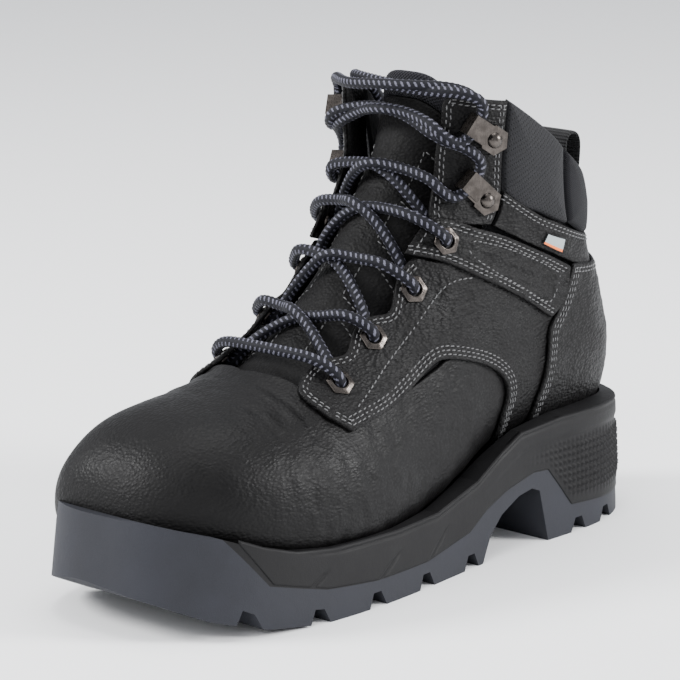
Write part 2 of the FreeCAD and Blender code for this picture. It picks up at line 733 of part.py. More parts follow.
def eyelet(name, barrel_length):
    """A hexagonal flange on a round barrel, with the lace hole through both."""
    flange = bound("Part::Prism", name + "Flange", Polygon=6,
                   Circumradius="Sizes.eyelet_flat / sqrt(3)", Height="Sizes.eyelet_flange")
    barrel = bound("Part::Cylinder", name + "Barrel", Height=barrel_length,
                   Radius="Sizes.eyelet_bore / 2 + Sizes.eyelet_barrel")
    barrel.setExpression("Placement.Base.z", "-(" + barrel_length + ")")
    bore = bound("Part::Cylinder", name + "Bore", Radius="Sizes.eyelet_bore / 2",
                 Height="20 * Sizes.eyelet_flange + 2 * (" + barrel_length + ")")
    bore.setExpression("Placement.Base.z", "-2 * (" + barrel_length + ")")
    solid = combined("Part::Cut", name, combined_all("Part::MultiFuse", name + "Solid",
                                                     [flange, barrel]), bore)
    return solid


def combined_all(kind, name, shapes):
    thing = doc.addObject(kind, name)
    thing.Shapes = shapes
    return thing


low_eyelet = eyelet("LowEyelet", "Sizes.leather + Sizes.layer_gap")
high_eyelet = eyelet("HighEyelet",
                     "Sizes.leather + Sizes.overlay + 2 * Sizes.layer_gap")

# a lace hook: hexagonal base under the rivet, a bar to the throat, a wall and a lip
base = bound("Part::Prism", "HookBase", Polygon=6, Circumradius="Sizes.hook_base / sqrt(3)",
             Height="Sizes.hook_metal")
base.setExpression("Placement.Base.x", "-Sizes.hook_base * 0.95")
base_bar = bound("Part::Box", "HookBar", Length="Sizes.hook_base * 1.4",
                 Width="Sizes.hook_plate", Height="Sizes.hook_metal")
wall = bound("Part::Box", "HookWall", Length="Sizes.hook_metal", Width="Sizes.hook_plate",
             Height="Sizes.hook_mouth + 2 * Sizes.hook_metal")
lip = bound("Part::Box", "HookLip", Length="Sizes.hook_plate", Width="Sizes.hook_plate",
            Height="Sizes.hook_metal")
for thing, x in ((base_bar, "-Sizes.hook_base * 0.95"), (wall, "Sizes.hook_base * 0.45 - "
                  "Sizes.hook_metal"), (lip, "Sizes.hook_base * 0.45 - Sizes.hook_plate")):
    thing.setExpression("Placement.Base.x", x)
    thing.setExpression("Placement.Base.y", "-Sizes.hook_plate / 2")
lip.setExpression("Placement.Base.z", "Sizes.hook_mouth + Sizes.hook_metal")
rivet_hole = bound("Part::Cylinder", "HookRivetHole", Height="4 * Sizes.hook_metal",
                   Radius="Sizes.rivet_shank / 2 + Sizes.layer_gap / 2")
rivet_hole.setExpression("Placement.Base.x", "-Sizes.hook_base * 0.95")
rivet_hole.setExpression("Placement.Base.z", "-Sizes.hook_metal")
hook = combined("Part::Cut", "Hook", combined_all("Part::MultiFuse", "HookSolid",
                                                  [base, base_bar, wall, lip]), rivet_hole)

# a domed rivet: a segment of a ball on a round shank
HEAD, CROWN = "(Sizes.rivet_head / 2)", "Sizes.rivet_crown"
BALL = "((%s * %s + %s * %s) / (2 * %s))" % (HEAD, HEAD, CROWN, CROWN, CROWN)
dome = bound("Part::Sphere", "RivetDome", Radius=BALL)
dome.setExpression("Angle1", "asin(1 - %s / %s)" % (CROWN, BALL))
dome.setExpression("Placement.Base.z", "%s - %s" % (CROWN, BALL))
stem = bound("Part::Cylinder", "RivetStem", Radius="Sizes.rivet_shank / 2")
STEM_LENGTH = "Sizes.leather + Sizes.hook_metal + 3 * Sizes.layer_gap"
stem.setExpression("Height", STEM_LENGTH + " + Sizes.rivet_crown / 2")
stem.setExpression("Placement.Base.z", "-(" + STEM_LENGTH + ")")
rivet = combined_all("Part::MultiFuse", "Rivet", [dome, stem])
doc.recompute()

hook_seat = quarter_out + 1.5 * gap
rivet_seat = hook_seat + size("hook_metal") + gap / 3
rivet_back = Placement(Vector(-size("hook_base") * .95, 0, rivet_seat - hook_seat), Rotation())


def placed(shape, placement):
    copy = shape.copy()
    copy.Placement = placement.multiply(copy.Placement)
    return copy


hole_radius = size("eyelet_bore") / 2 + size("eyelet_barrel") + gap / 2


def drill(placement, radius):
    """A hole through the leather at a placement."""
    tool = Part.makeCylinder(radius, 16, Vector(0, 0, -8))
    tool.Placement = placement.multiply(tool.Placement)
    return tool


for name, side in SIDES:
    rings_placed, holes = [], []
    for k, (u, t) in enumerate(EYELETS):
        high = k == len(EYELETS) - 1
        seat = frame_at(u, t, side, (overlay_out if high else quarter_out) + gap / 2)
        rings_placed.append(placed((high_eyelet if high else low_eyelet).Shape, seat))
        holes.append(drill(seat, hole_radius))
    feature("eyelets_" + name, Part.makeCompound(rings_placed))
    hooks_placed, rivets_placed, stems = [], [], []
    for u, t in HOOKS:
        seat = frame_at(u, t, side, hook_seat)
        hooks_placed.append(placed(hook.Shape, seat))
        rivets_placed.append(placed(rivet.Shape, seat.multiply(rivet_back)))
        stems.append(drill(seat.multiply(rivet_back), size("rivet_shank") / 2 + gap / 2))
    feature("lace_hooks_" + name, Part.makeCompound(hooks_placed))
    feature("hook_rivets_" + name, Part.makeCompound(rivets_placed))
    for label, tools in (("quarter_", holes), ("ankle_strap_", holes[-1:]),
                         ("hook_panel_", stems)):
        thing = [n for n in nodes if n.Label == label + name][0]
        for tool in tools:
            thing.Shape = thing.Shape.cut(tool).Solids[0]

# ---------------------------------------------------------------- lace
lace = size("lace_round")
flange_top = gap / 2 + size("eyelet_flange")
over = quarter_out + flange_top + lace / 2 + 2 * gap
over_strap = overlay_out + flange_top + lace / 2 + 2 * gap
under = quarter_in - lace / 2 - gap


def hook_points(k, side):
    """The lace's corners at hook k, from its lower leg to its upper leg or on from it."""
    seat = frame_at(*HOOKS[k], side, hook_seat)
    rise = 1 if seat.Rotation.multVec(Vector(0, 1, 0)).z > 0 else -1
    x = size("hook_base") * .45 - size("hook_metal") - lace / 2 - gap
    z = size("hook_metal") + lace / 2 + gap
    leg = size("hook_plate") / 2 + lace
    spots = [(x + 10, -leg - 1.5, z), (x, -leg, z), (x, leg, z), (x + 10, leg + 1.5, z)]
    return [seat.multVec(Vector(a, b * rise, c)) for a, b, c in spots]


def through(k, side):
    """Down through eyelet k from outside, with a corner above it and one below it."""
    u, t = EYELETS[k]
    high = k == len(EYELETS) - 1
    return [at(u, t, side, over_strap if high else over), at(u, t, side, under - .4)]


def crosses(u_from, u_to, side, passes_over, low_start):
    """Over the tongue from one side to the other; u runs from one row to the next."""
    points = []
    step = u_to - u_from
    for share, t, way in ((.22, .855, 1), (.38, .935, 1), (.50, 1.0, 1), (.64, .935, -1),
                          (.80, .865, -1)):
        u = u_from + step * share
        rest = max(tongue_depth(u) + lace / 2 + 1.0, -5.2)
        lift = {1.0: lace + .8, .935: (lace + .8) * .42}.get(t, 0) if passes_over else 0
        depth = rest + lift
        if share == .80:
            depth = over - .6
        if share == .22:
            depth = min(under, rest + 1.4) if low_start else over - .2
        points.append(at(u, t, side * way, depth))
    return points


def half_lace(side):
    """From the bar over the throat to the aglet, for the half that starts on `side`."""
    u, t = EYELETS[0]
    route = [at(u - .020, .93, side, 2.6), at(u - .010, t + .075, side, over + .7)]
    for k in range(len(EYELETS)):
        route += through(k, side)
        u, t = EYELETS[k]
        strap = k == len(EYELETS) - 1
        route.append(at(u + .012, t + .045, side, under - .4))
        if strap:
            u_next = HOOKS[0][0] - .045
            route += crosses(u, u_next, side, (side > 0) == (k % 2 == 0), True)
        else:
            u_next, t_next = EYELETS[k + 1]
            route += crosses(u, u_next, side, (side > 0) == (k % 2 == 0), True)
            high = k + 1 == len(EYELETS) - 1
            route.append(at(u_next - .006, t_next + .045, -side,
                            over_strap if high else over))
        side = -side
    route += hook_points(0, side)
    route += crosses(HOOKS[0][0] + .045, HOOKS[1][0] - .045, side, side < 0, False)
    side = -side
    route += hook_points(1, side)
    return route, side


def tail(side, passes_over):
    """From the upper hook over the tongue and down inside the far side of the shaft."""
    front = 18.5 - (lace + .6 if passes_over else 0)
    tops = size("shaft_height")
    return [Vector(side * 18 * across, front + 1.0, tops + 2.5),
            Vector(0, front, tops + 4.2),
            Vector(-side * 17 * across, front + 3.0, tops + 4.8),
            Vector(-side * 27.5 * across, 29, tops + 4.0),
            Vector(-side * 29.3 * across, 42, tops - 1.0),
            Vector(-side * 29.3 * across, 51, tops - 14),
            Vector(-side * 29.1 * across, 57, tops - 28),
            Vector(-side * 29.4 * across, 61, tops - 42)]


def tube(points, diameter):
    """A tube along straight runs joined by arcs, and its length and smallest radius."""
    edges, last, radii, length = [], points[0], [], 0.0
    for a, b, c in zip(points, points[1:], points[2:]):
        before, after = (b - a), (c - b)
        turn = before.getAngle(after)
        short = min(before.Length, after.Length)
        radius = .45 * short / math.tan(turn / 2)
        touch = .45 * short
        start = b - before.normalize() * touch
        end = b + after.normalize() * touch
        to_middle = ((start - b) + (end - b)).normalize()
        middle = b + to_middle * (radius / math.cos(turn / 2) - radius)
        edges.append(Part.LineSegment(last, start).toShape())
        edges.append(Part.Arc(start, middle, end).toShape())
        length += last.distanceToPoint(start) + radius * turn
        radii.append((round(radius, 1), round(math.degrees(turn))))
        last = end
    edges.append(Part.LineSegment(last, points[-1]).toShape())
    length += last.distanceToPoint(points[-1])
    first = (points[1] - points[0]).normalize()
    ring = Part.Wire(Part.Circle(points[0], first, diameter / 2).toShape())
    solid = Part.Wire(edges).makePipeShell([ring], True, False)
    return solid, length, radii


right_half, right_end = half_lace(1)
left_half, left_end = half_lace(-1)
right_half += tail(right_end, True)
left_half += tail(left_end, False)
lace_route = left_half[::-1] + right_half
lace_tube, lace_length, lace_radii = tube(lace_route, lace)
feature("lace", lace_tube)
expected = math.pi * lace ** 2 / 4 * lace_length
print("lace length %.0f volume %.0f expected %.0f" % (lace_length, lace_tube.Volume, expected))
print("lace radii", lace_radii)

aglet = body("Aglet")
aglet_end = sketch_in(aglet, "XY_Plane", "AgletEnd")
disc(aglet_end, "Sizes.aglet_tube / 2")
padded(aglet, aglet_end, "Sizes.aglet_length")
doc.recompute()
tips = []
for end, before in ((lace_route[0], lace_route[1]), (lace_route[-1], lace_route[-2])):
    turn = Rotation(Vector(0, 0, 1), end - before)
    tips.append(placed(aglet.Shape, Placement(end, turn)))
feature("aglets", Part.makeCompound(tips))

# ---------------------------------------------------------------- pull loop and label
loop_half = size("loop_width") / 2
tab_u = (.930, .968)
loop_foot = at(tab_u[1], 0, 1, pad_out + gap + size("webbing") / 2)
tab_low, tab_high = [], []
for u in spread(*tab_u, 5):
    line = []
    for x in spread(-loop_half, loop_half, 7):
        t = abs(x) / skin(u, .12, 1).x * .12
        line.append((u, t, 1 if x > 0 else -1))
    tab_low.append([at(*place, pad_out + gap) for place in line])
    tab_high.append([at(*place, pad_out + gap + size("webbing")) for place in line])
feature("pull_loop_tab", between(tab_low, tab_high))
rise = size("loop_rise")
foot = loop_foot + Vector(0, 1.4, gap + size("webbing") * 1.3)
bow = ((0, -.75), (3.6, 3.0), (5.4, rise * .55), (3.4, rise * .92), (0, rise),
       (-3.4, rise * .92), (-5.4, rise * .55), (-3.6, 3.0))
loop_wires = []
for thick in (0.0, size("webbing")):
    points = []
    for k, (y, z) in enumerate(bow):
        before, after = bow[k - 1], bow[(k + 1) % len(bow)]
        run = Vector(0, after[0] - before[0], after[1] - before[1]).normalize()
        points.append(foot + Vector(-loop_half, y - run.z * thick, z + run.y * thick))
    curve = Part.BSplineCurve()
    curve.interpolate(points, PeriodicFlag=True)
    loop_wires.append(Part.Wire(curve.toShape()))
loop_end = doc.addObject("Part::Feature", "PullLoopEnd")
loop_end.Shape = Part.Face(loop_wires[0]).cut(Part.Face(loop_wires[1]))
loop = extruded("PullLoop", loop_end, Vector(1, 0, 0), "Sizes.loop_width", False)
keep(loop, "pull_loop")

label = body("Label")
label_face = sketch_in(label, "XY_Plane", "LabelFace")
rectangle(label_face, "Sizes.label_width", "Sizes.label_height")
padded(label, label_face, "Sizes.label_cloth")
doc.recompute()
label_seat = frame_at(.833, .475, 1, quarter_out + gap)
slant = (skin(.853, .41, 1) - skin(.815, .54, 1)).normalize()
normal = label_seat.Rotation.multVec(Vector(0, 0, 1))
slant = (slant - normal * slant.dot(normal)).normalize()
label.Placement = Placement(label_seat.Base, Rotation(slant, normal.cross(slant), normal, "ZXY"))
keep(label, "label_tag")
doc.recompute()

faults = [thing.Label for thing in doc.Objects
          if "Invalid" in thing.State or "Error" in thing.State]
faults += [thing.Label for thing in nodes
           if thing.Shape.isNull() or not thing.Shape.isValid()]
if faults:
    raise RuntimeError("not sound: %s" % ", ".join(faults))

# the whole boot is set down with the middle of its box over the origin
set_down = Vector(BOX_MIDDLE[0] * across, BOX_MIDDLE[1] * along, 0) * -1
for thing in nodes:
    shape = thing.Shape.copy()
    shape.translate(set_down)
    shape.exportStep("parts/%s.step" % thing.Label)
    print("%-24s volume %9.1f %s" % (thing.Label, shape.Volume, shape.BoundBox))
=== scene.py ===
"""A steel toe work boot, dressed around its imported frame: leather, seams, lace and sole.

Every piece of the upper lies on one closed surface, the last. A place on the last is
(u, v): u runs from the toe tip under the ball and round the heel to the collar, and v
runs round each section from the bottom or back line (0) to the ridge (1) on the outer
side and on round to the inner side (-1 to 0). A depth in millimetres counts outwards.
"""

import math

import bpy
import numpy as np
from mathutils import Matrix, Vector


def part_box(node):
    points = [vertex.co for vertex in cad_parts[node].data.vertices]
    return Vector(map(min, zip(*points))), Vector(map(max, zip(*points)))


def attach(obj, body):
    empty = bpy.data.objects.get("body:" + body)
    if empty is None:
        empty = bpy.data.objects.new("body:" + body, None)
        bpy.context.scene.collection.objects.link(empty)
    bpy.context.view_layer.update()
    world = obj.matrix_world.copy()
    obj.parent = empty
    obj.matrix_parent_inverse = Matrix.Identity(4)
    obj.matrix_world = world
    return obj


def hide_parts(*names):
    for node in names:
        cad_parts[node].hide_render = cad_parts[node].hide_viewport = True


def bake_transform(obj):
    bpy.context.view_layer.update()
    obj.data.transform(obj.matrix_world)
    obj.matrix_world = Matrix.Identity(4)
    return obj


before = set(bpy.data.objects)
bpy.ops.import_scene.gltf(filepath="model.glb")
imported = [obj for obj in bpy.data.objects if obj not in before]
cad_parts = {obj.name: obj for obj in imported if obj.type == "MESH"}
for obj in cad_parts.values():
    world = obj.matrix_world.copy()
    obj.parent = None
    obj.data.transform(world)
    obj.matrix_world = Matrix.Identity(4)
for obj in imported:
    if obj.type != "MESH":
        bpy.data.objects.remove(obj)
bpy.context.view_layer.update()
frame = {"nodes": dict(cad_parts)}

bl_info = {
    "name": "Work Boot Dressing",
    "version": (1, 0, 0),
    "blender": (4, 5, 0),
    "location": "3D View > Sidebar > Boot",
    "description": "Builds the leather, seams, lace and sole details of a work boot",
    "category": "Add Mesh",
}

MM = 0.001
BOX_MIDDLE = np.array((2.55, 0.65, 0.0))
SIDES = (("lateral", 1.0), ("medial", -1.0))

# ---------------------------------------------------------------- the last
# bottom y, z; ridge y, z; half width outer, inner; place of the widest point; corner
# fullness below, above; centre x
LAST = np.array((
    (-141.0, 40, -141.0, 40, 0, 0, .45, 2.2, 2.2, -8),
    (-138.5, 30, -138.0, 58, 24, 22, .45, 2.2, 2.3, -8),
    (-128.0, 24, -126.0, 72, 39, 32, .42, 2.3, 2.4, -6.5),
    (-111.0, 20, -108.0, 80, 49, 40, .38, 2.5, 2.4, -4),
    (-90.0, 17, -86.0, 84, 53, 45, .34, 2.7, 2.3, -1),
    (-66.0, 15, -64.0, 90, 55, 48, .30, 2.8, 2.1, 0),
    (-38.0, 15, -43.0, 102, 54, 48, .27, 2.8, 1.9, 0),
    (-8.0, 17, -24.0, 119, 49, 46, .26, 2.8, 1.85, 0),
    (25.0, 27, -8.0, 136, 45, 43.5, .27, 2.7, 1.9, 0),
    (60.0, 37.5, 2.0, 151, 41.7, 40.8, .34, 2.5, 2.05, 0),
    (98.0, 38.5, 8.0, 163, 39.6, 39.6, .42, 2.4, 2.2, 0),
    (131.0, 43, 12.0, 174, 38.2, 38.2, .46, 2.3, 2.35, 0),
    (140.0, 65, 13.5, 182, 38.2, 38.2, .48, 2.3, 2.5, 0),
    (132.0, 94, 14.5, 190, 38.8, 38.8, .50, 2.3, 2.5, 0),
    (123.8, 124, 15.5, 198, 39.3, 39.3, .50, 2.3, 2.5, 0),
    (119.8, 162, 16.5, 212, 40.3, 40.3, .50, 2.3, 2.5, 0),
))
U_ROWS = 1001
HALF_RING = 600
NORMAL_U = 12
NORMAL_V = 14


def spline(values, shares):
    """Natural cubic spline through evenly spaced rows.

    Second differences M solve M[i-1] + 4 M[i] + M[i+1] = 6 (p[i-1] - 2 p[i] + p[i+1]);
    between rows p = a p0 + b p1 + ((a^3 - a) M0 + (b^3 - b) M1) / 6 with a = 1 - b.
    """
    values = np.asarray(values, float)
    count = len(values)
    bends = np.zeros_like(values)
    if count > 2:
        inner = np.diag([4.0] * (count - 2))
        inner += np.diag([1.0] * (count - 3), 1) + np.diag([1.0] * (count - 3), -1)
        change = 6.0 * (values[:-2] - 2.0 * values[1:-1] + values[2:])
        bends[1:-1] = np.linalg.solve(inner, change)
    spot = np.clip(shares, 0.0, 1.0) * (count - 1)
    i = np.minimum(spot.astype(int), count - 2)
    b = (spot - i)[..., None]
    a = 1.0 - b
    bent = (a ** 3 - a) * bends[i] + (b ** 3 - b) * bends[i + 1]
    return a * values[i] + b * values[i + 1] + bent / 6.0


def ring_spline(points, count):
    """Periodic cubic spline through plan points with chord lengths h as its steps:
    h0 M0 + 2 (h0 + h1) M1 + h1 M2 = 6 ((p2 - p1) / h1 - (p1 - p0) / h0)."""
    points = np.asarray(points, float)
    total = len(points)
    h = np.linalg.norm(np.roll(points, -1, 0) - points, axis=1)
    before = np.roll(h, 1)
    system = np.diag(2.0 * (h + before))
    index = np.arange(total)
    system[index, (index + 1) % total] += h
    system[index, (index - 1) % total] += before
    slope = (np.roll(points, -1, 0) - points) / h[:, None]
    bends = np.linalg.solve(system, 6.0 * (slope - np.roll(slope, 1, 0)))
    ends = np.concatenate([[0.0], np.cumsum(h)])
    spot = np.linspace(0.0, ends[-1], count, endpoint=False)
    i = np.searchsorted(ends, spot, side="right") - 1
    b = ((spot - ends[i]) / h[i])[:, None]
    a = 1.0 - b
    j = (i + 1) % total
    bent = ((a ** 3 - a) * bends[i] + (b ** 3 - b) * bends[j]) * (h[i] ** 2)[:, None]
    return a * points[i] + b * points[j] + bent / 6.0


def last_surface():
    """The last as a grid over (u, v) and its outward unit normals.

    Each half section is a super-ellipse, x = c + w sin(a)^(2/n), with its height share
    s = m (1 - cos(a)^(2/n)) below its widest place m and m + (1 - m) |cos(a)|^(2/n)
    above it, re-spaced so that v is a share of the half's length.
    """
    rows = spline(LAST, np.linspace(0, 1, U_ROWS)).T[:, :, None]
    yb, zb, yt, zt, outer, inner, widest, low, high, centre = rows
    angle = np.linspace(0, np.pi, 4 * 48 + 1)[None]
    below = angle <= np.pi / 2 + 1e-9
    power = 2.0 / np.where(below, low, high)
    lift = np.abs(np.cos(angle)) ** power
    s = np.where(below, widest * (1 - lift), widest + (1 - widest) * lift)
    halves = []
    for side, half in ((1, outer), (-1, inner)):
        x = centre + side * np.maximum(half, 0) * np.clip(np.sin(angle), 0, None) ** power
        ring = np.stack([x, yb + s * (yt - yb), zb + s * (zt - zb)], -1)
        run = np.linalg.norm(np.diff(ring, axis=1), axis=2)
        share = np.concatenate([np.zeros((U_ROWS, 1)), np.cumsum(run, 1)], 1)
        share /= share[:, -1:]
        row = 2.0 * np.arange(U_ROWS)[:, None]
        want = (np.linspace(0, 1, HALF_RING + 1)[None] + row).ravel()
        parts = [np.interp(want, (share + row).ravel(), ring[..., k].ravel()) for k in range(3)]
        halves.append(np.stack(parts, -1).reshape(U_ROWS, HALF_RING + 1, 3))
    skin = np.concatenate([halves[0], halves[1][:, -2:0:-1]], 1)
    index = np.arange(U_ROWS)
    along = skin[np.minimum(index + NORMAL_U, U_ROWS - 1)] - skin[np.maximum(index - NORMAL_U, 4)]
    around = np.roll(skin, -NORMAL_V, 1) - np.roll(skin, NORMAL_V, 1)
    normal = np.cross(along, around)
    normal /= np.linalg.norm(normal, axis=2, keepdims=True) + 1e-12
    middle = np.stack([centre, (yb + yt) / 2, (zb + zt) / 2], -1)
    facing = np.sum(normal * (skin - middle), axis=2, keepdims=True)
    return skin, np.where(facing < 0, -normal, normal)


SKIN, NORMAL = last_surface()


def place(u, v, depth=0.0):
    """Points `depth` mm outside the last at (u, v), read from its grid bilinearly."""
    u, v, depth = np.broadcast_arrays(u, v, np.asarray(depth, float))
    a = np.clip(u, 0.004, 1.0) * (U_ROWS - 1)
    i = np.minimum(a.astype(int), U_ROWS - 2)
    f = (a - i)[..., None]
    b = np.mod(v, 2.0) * HALF_RING
    j = np.floor(b).astype(int) % (2 * HALF_RING)
    g = (b - np.floor(b))[..., None]
    k = (j + 1) % (2 * HALF_RING)

    def read(grid):
        near = grid[i, j] * (1 - f) + grid[i + 1, j] * f
        far = grid[i, k] * (1 - f) + grid[i + 1, k] * f
        return near * (1 - g) + far * g

    normal = read(NORMAL)
    normal /= np.linalg.norm(normal, axis=-1, keepdims=True)
    return read(SKIN) + normal * depth[..., None]


def ramp(value, first, last):
    """0 up to first, 1 from last on, f^2 (3 - 2 f) between."""
    f = np.clip((value - first) / (last - first), 0.0, 1.0)
    return f * f * (3.0 - 2.0 * f)


# ---------------------------------------------------------------- depths of the layers
LEATHER = 1.7
OVERLAY = 1.4
GAP = 0.3
VAMP_OUT = 0.0
VAMP_IN = VAMP_OUT - LEATHER
QUARTER_IN = VAMP_OUT + 1.5 * GAP
QUARTER_OUT = QUARTER_IN + LEATHER
OVERLAY_IN = QUARTER_OUT + 1.5 * GAP
OVERLAY_OUT = OVERLAY_IN + OVERLAY
PAD_OUT = QUARTER_OUT + 1.0
LACE = 4.6
WEBBING = 1.6
SHAFT_HEIGHT = 193.0

# ---------------------------------------------------------------- seam lines in (u, v)
VAMP_REAR = ((.62, .16), (.63, .30), (.625, .42), (.59, .52), (.49, .60), (.390, .68),
             (.362, .76), (.348, .88), (.334, 1.0))
QUARTER_LOW = ((.375, .642), (.409, .632), (.450, .614), (.497, .602), (.530, .588),
               (.553, .550), (.582, .482), (.603, .420), (.611, .371), (.607, .328),
               (.594, .285), (.584, .20))
QUARTER_FRONT = ((.352, .705), (.341, .765), (.343, .812), (.362, .838), (.388, .840),
                 (.411, .816), (.428, .803), (.446, .820), (.468, .822), (.490, .795),
                 (.507, .778), (.528, .798), (.554, .806), (.580, .790), (.600, .745),
                 (.640, .690), (.690, .590), (.730, .460), (.715, .370), (.690, .290),
                 (.66, .20))
QUARTER_FRONT_SEEN = QUARTER_FRONT[:14]
QUARTER_LINE = ((.393, .682), (.448, .699), (.491, .702), (.552, .696), (.599, .682),
                (.645, .640))
STRAP_LOW = ((.568, .822), (.588, .776), (.615, .716), (.646, .639), (.672, .579),
             (.696, .512), (.717, .436))
STRAP_HIGH = ((.627, .819), (.646, .812), (.672, .783), (.703, .722), (.742, .65),
              (.788, .522), (.815, .412))
STRAP_INSET = ((.668, .712), (.680, .708), (.698, .682), (.723, .639), (.758, .555),
               (.780, .480), (.776, .462), (.750, .464), (.725, .474), (.705, .535),
               (.678, .615), (.659, .680), (.659, .702), (.668, .712))
COUNTER_EDGE = ((.625, .17), (.641, .254), (.660, .304), (.690, .385), (.717, .426),
                (.770, .428), (.820, .400))
COUNTER_LOW = ((.625, .170), (.665, .120), (.710, .060), (.735, .0))
COUNTER_HIGH = ((.820, .400), (.838, .355), (.888, .180), (.921, .0))
PANEL_FRONT = ((.953, .806), (.925, .828), (.878, .838), (.790, .860), (.717, .853),
               (.660, .828), (.640, .800))
PANEL_BACK = ((.984, .628), (.945, .640), (.886, .660), (.830, .675), (.780, .688),
              (.735, .695))
BAND_LOW = ((.738, .688), (.800, .500), (.832, .370), (.880, .180), (.913, .0))
BAND_HIGH = ((.824, .668), (.847, .528), (.870, .431), (.915, .200), (.937, .0))
COLLAR_LOW = ((.822, .668), (.828, .60), (.850, .528), (.873, .431), (.888, .372))
COLLAR_START = ((.822, .668), (.886, .655), (.945, .636), (.986, .624))
COLLAR_HIGH = ((.986, .624), (.984, .562), (.982, .498), (.979, .428), (.975, .380))
BACK_PAD_LOW = ((.894, .358), (.910, .230), (.928, .110), (.936, .0))
BACK_PAD_HIGH = ((.974, .365), (.972, .240), (.970, .120), (.969, .0))
LABEL_LOW = ((.800, .528), (.821, .444))
LABEL_HIGH = ((.828, .502), (.852, .416))
TONGUE_FIRST, FACE_END, TOP_FIRST, TONGUE_END = .352, .885, .887, .954
EYELETS = ((.393, .759), (.466, .773), (.548, .756), (.635, .758))
HOOKS = ((.770, .775), (.915, .745))


def sided(points, side):
    """A seam line on one side of the boot."""
    return [(u, side * v) for u, v in points]


def over_back(half):
    """A seam line from the outer side over the back line to the inner side."""
    return list(half) + [(u, -v) for u, v in reversed(half[:-1])]


def tongue_depth(u):
    """The tongue's face lies this deep; it leans back towards its top."""
    return -LACE - 1.9 - 10.0 * ramp(u, .55, 1.0)


def tongue_edge(u):
    """Where the tongue ends at its sides, as v."""
    return .745 - .145 * ramp(u, .45, .80)


# ---------------------------------------------------------------- user settings
class BootSizes(bpy.types.PropertyGroup):
    """Sizes of the seams and cords, in metres."""

    stitch: bpy.props.FloatProperty(
        name="Stitch", description="Length of one stitch", default=0.0023, unit="LENGTH")
    pitch: bpy.props.FloatProperty(
        name="Pitch", description="From one stitch to the next", default=0.0029, unit="LENGTH")
    thread: bpy.props.FloatProperty(
        name="Thread", description="Thickness of the thread", default=0.00062, unit="LENGTH")
    lace: bpy.props.FloatProperty(
        name="Lace", description="Thickness of the lace", default=LACE * MM, unit="LENGTH")
    webbing: bpy.props.FloatProperty(
        name="Webbing", description="Thickness of the pull loop", default=WEBBING * MM,
        unit="LENGTH")


class BootColours(bpy.types.PropertyGroup):
    """Colours of the boot's materials."""

    leather: bpy.props.FloatVectorProperty(
        name="Leather", description="Upper leather", default=(.0030, .0028, .0029),
        subtype="COLOR", min=0, max=1)
    thread: bpy.props.FloatVectorProperty(
        name="Thread", description="Contrast stitching", default=(.10, .10, .102),
        subtype="COLOR", min=0, max=1)
    outsole: bpy.props.FloatVectorProperty(
        name="Outsole", description="Outsole rubber", default=(.0180, .0188, .0236),
        subtype="COLOR", min=0, max=1)
    midsole: bpy.props.FloatVectorProperty(
        name="Midsole", description="Midsole foam", default=(.0045, .0043, .0047),
        subtype="COLOR", min=0, max=1)
    metal: bpy.props.FloatVectorProperty(
        name="Metal", description="Eyelets and hooks", default=(.075, .066, .060),
        subtype="COLOR", min=0, max=1)
    lace: bpy.props.FloatVectorProperty(
        name="Lace", description="Lace yarn", default=(.0022, .0023, .0050),
        subtype="COLOR", min=0, max=1)
    fleck: bpy.props.FloatVectorProperty(
        name="Fleck", description="Light yarn in the lace", default=(.095, .095, .125),
        subtype="COLOR", min=0, max=1)
    stripe: bpy.props.FloatVectorProperty(
        name="Stripe", description="Stripe on the label", default=(.75, .16, .03),
        subtype="COLOR", min=0, max=1)


# ---------------------------------------------------------------- mesh making
def finish_piece(name, points, faces, material, uv=None, body="boot", smooth=True):
    """One mesh object from points in mm and faces, turned outwards if its volume is
    negative; faces is a list of integer arrays, each (count, corners). With no body
    named, the piece is not attached to any body."""
    volume = 0.0
    for block in faces:
        a = points[block[:, 0]]
        for k in range(1, block.shape[1] - 1):
            b, c = points[block[:, k]], points[block[:, k + 1]]
            volume += np.sum(a * np.cross(b, c))
    if volume < 0:
        faces = [block[:, ::-1] for block in faces]
    corners = np.concatenate([block.ravel() for block in faces])
    sizes = np.concatenate([np.full(len(block), block.shape[1]) for block in faces])
    starts = np.concatenate([[0], np.cumsum(sizes)[:-1]])
    mesh = bpy.data.meshes.new(name)
    mesh.vertices.add(len(points))
    mesh.vertices.foreach_set("co", ((points - BOX_MIDDLE) * MM).astype(np.float32).ravel())
    mesh.loops.add(len(corners))
    mesh.loops.foreach_set("vertex_index", corners.astype(np.int32))
    mesh.polygons.add(len(starts))
    mesh.polygons.foreach_set("loop_start", starts.astype(np.int32))
    mesh.polygons.foreach_set("use_smooth", np.full(len(starts), smooth))
    mesh.update(calc_edges=True)
    if uv is not None:
        layer = mesh.uv_layers.new(name="UVMap")
        layer.data.foreach_set("uv", uv[corners].astype(np.float32).ravel())
    piece = bpy.data.objects.new(name, mesh)
    bpy.context.scene.collection.objects.link(piece)
    mesh.materials.append(material)
    if body:
        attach(piece, body)
    return piece


def grid_faces(rows, columns):
    """Quads of a grid of rows x columns points."""
    ids = np.arange(rows * columns).reshape(rows, columns)
    corners = (ids[:-1, :-1], ids[1:, :-1], ids[1:, 1:], ids[:-1, 1:])
    return np.stack(corners, -1).reshape(-1, 4)


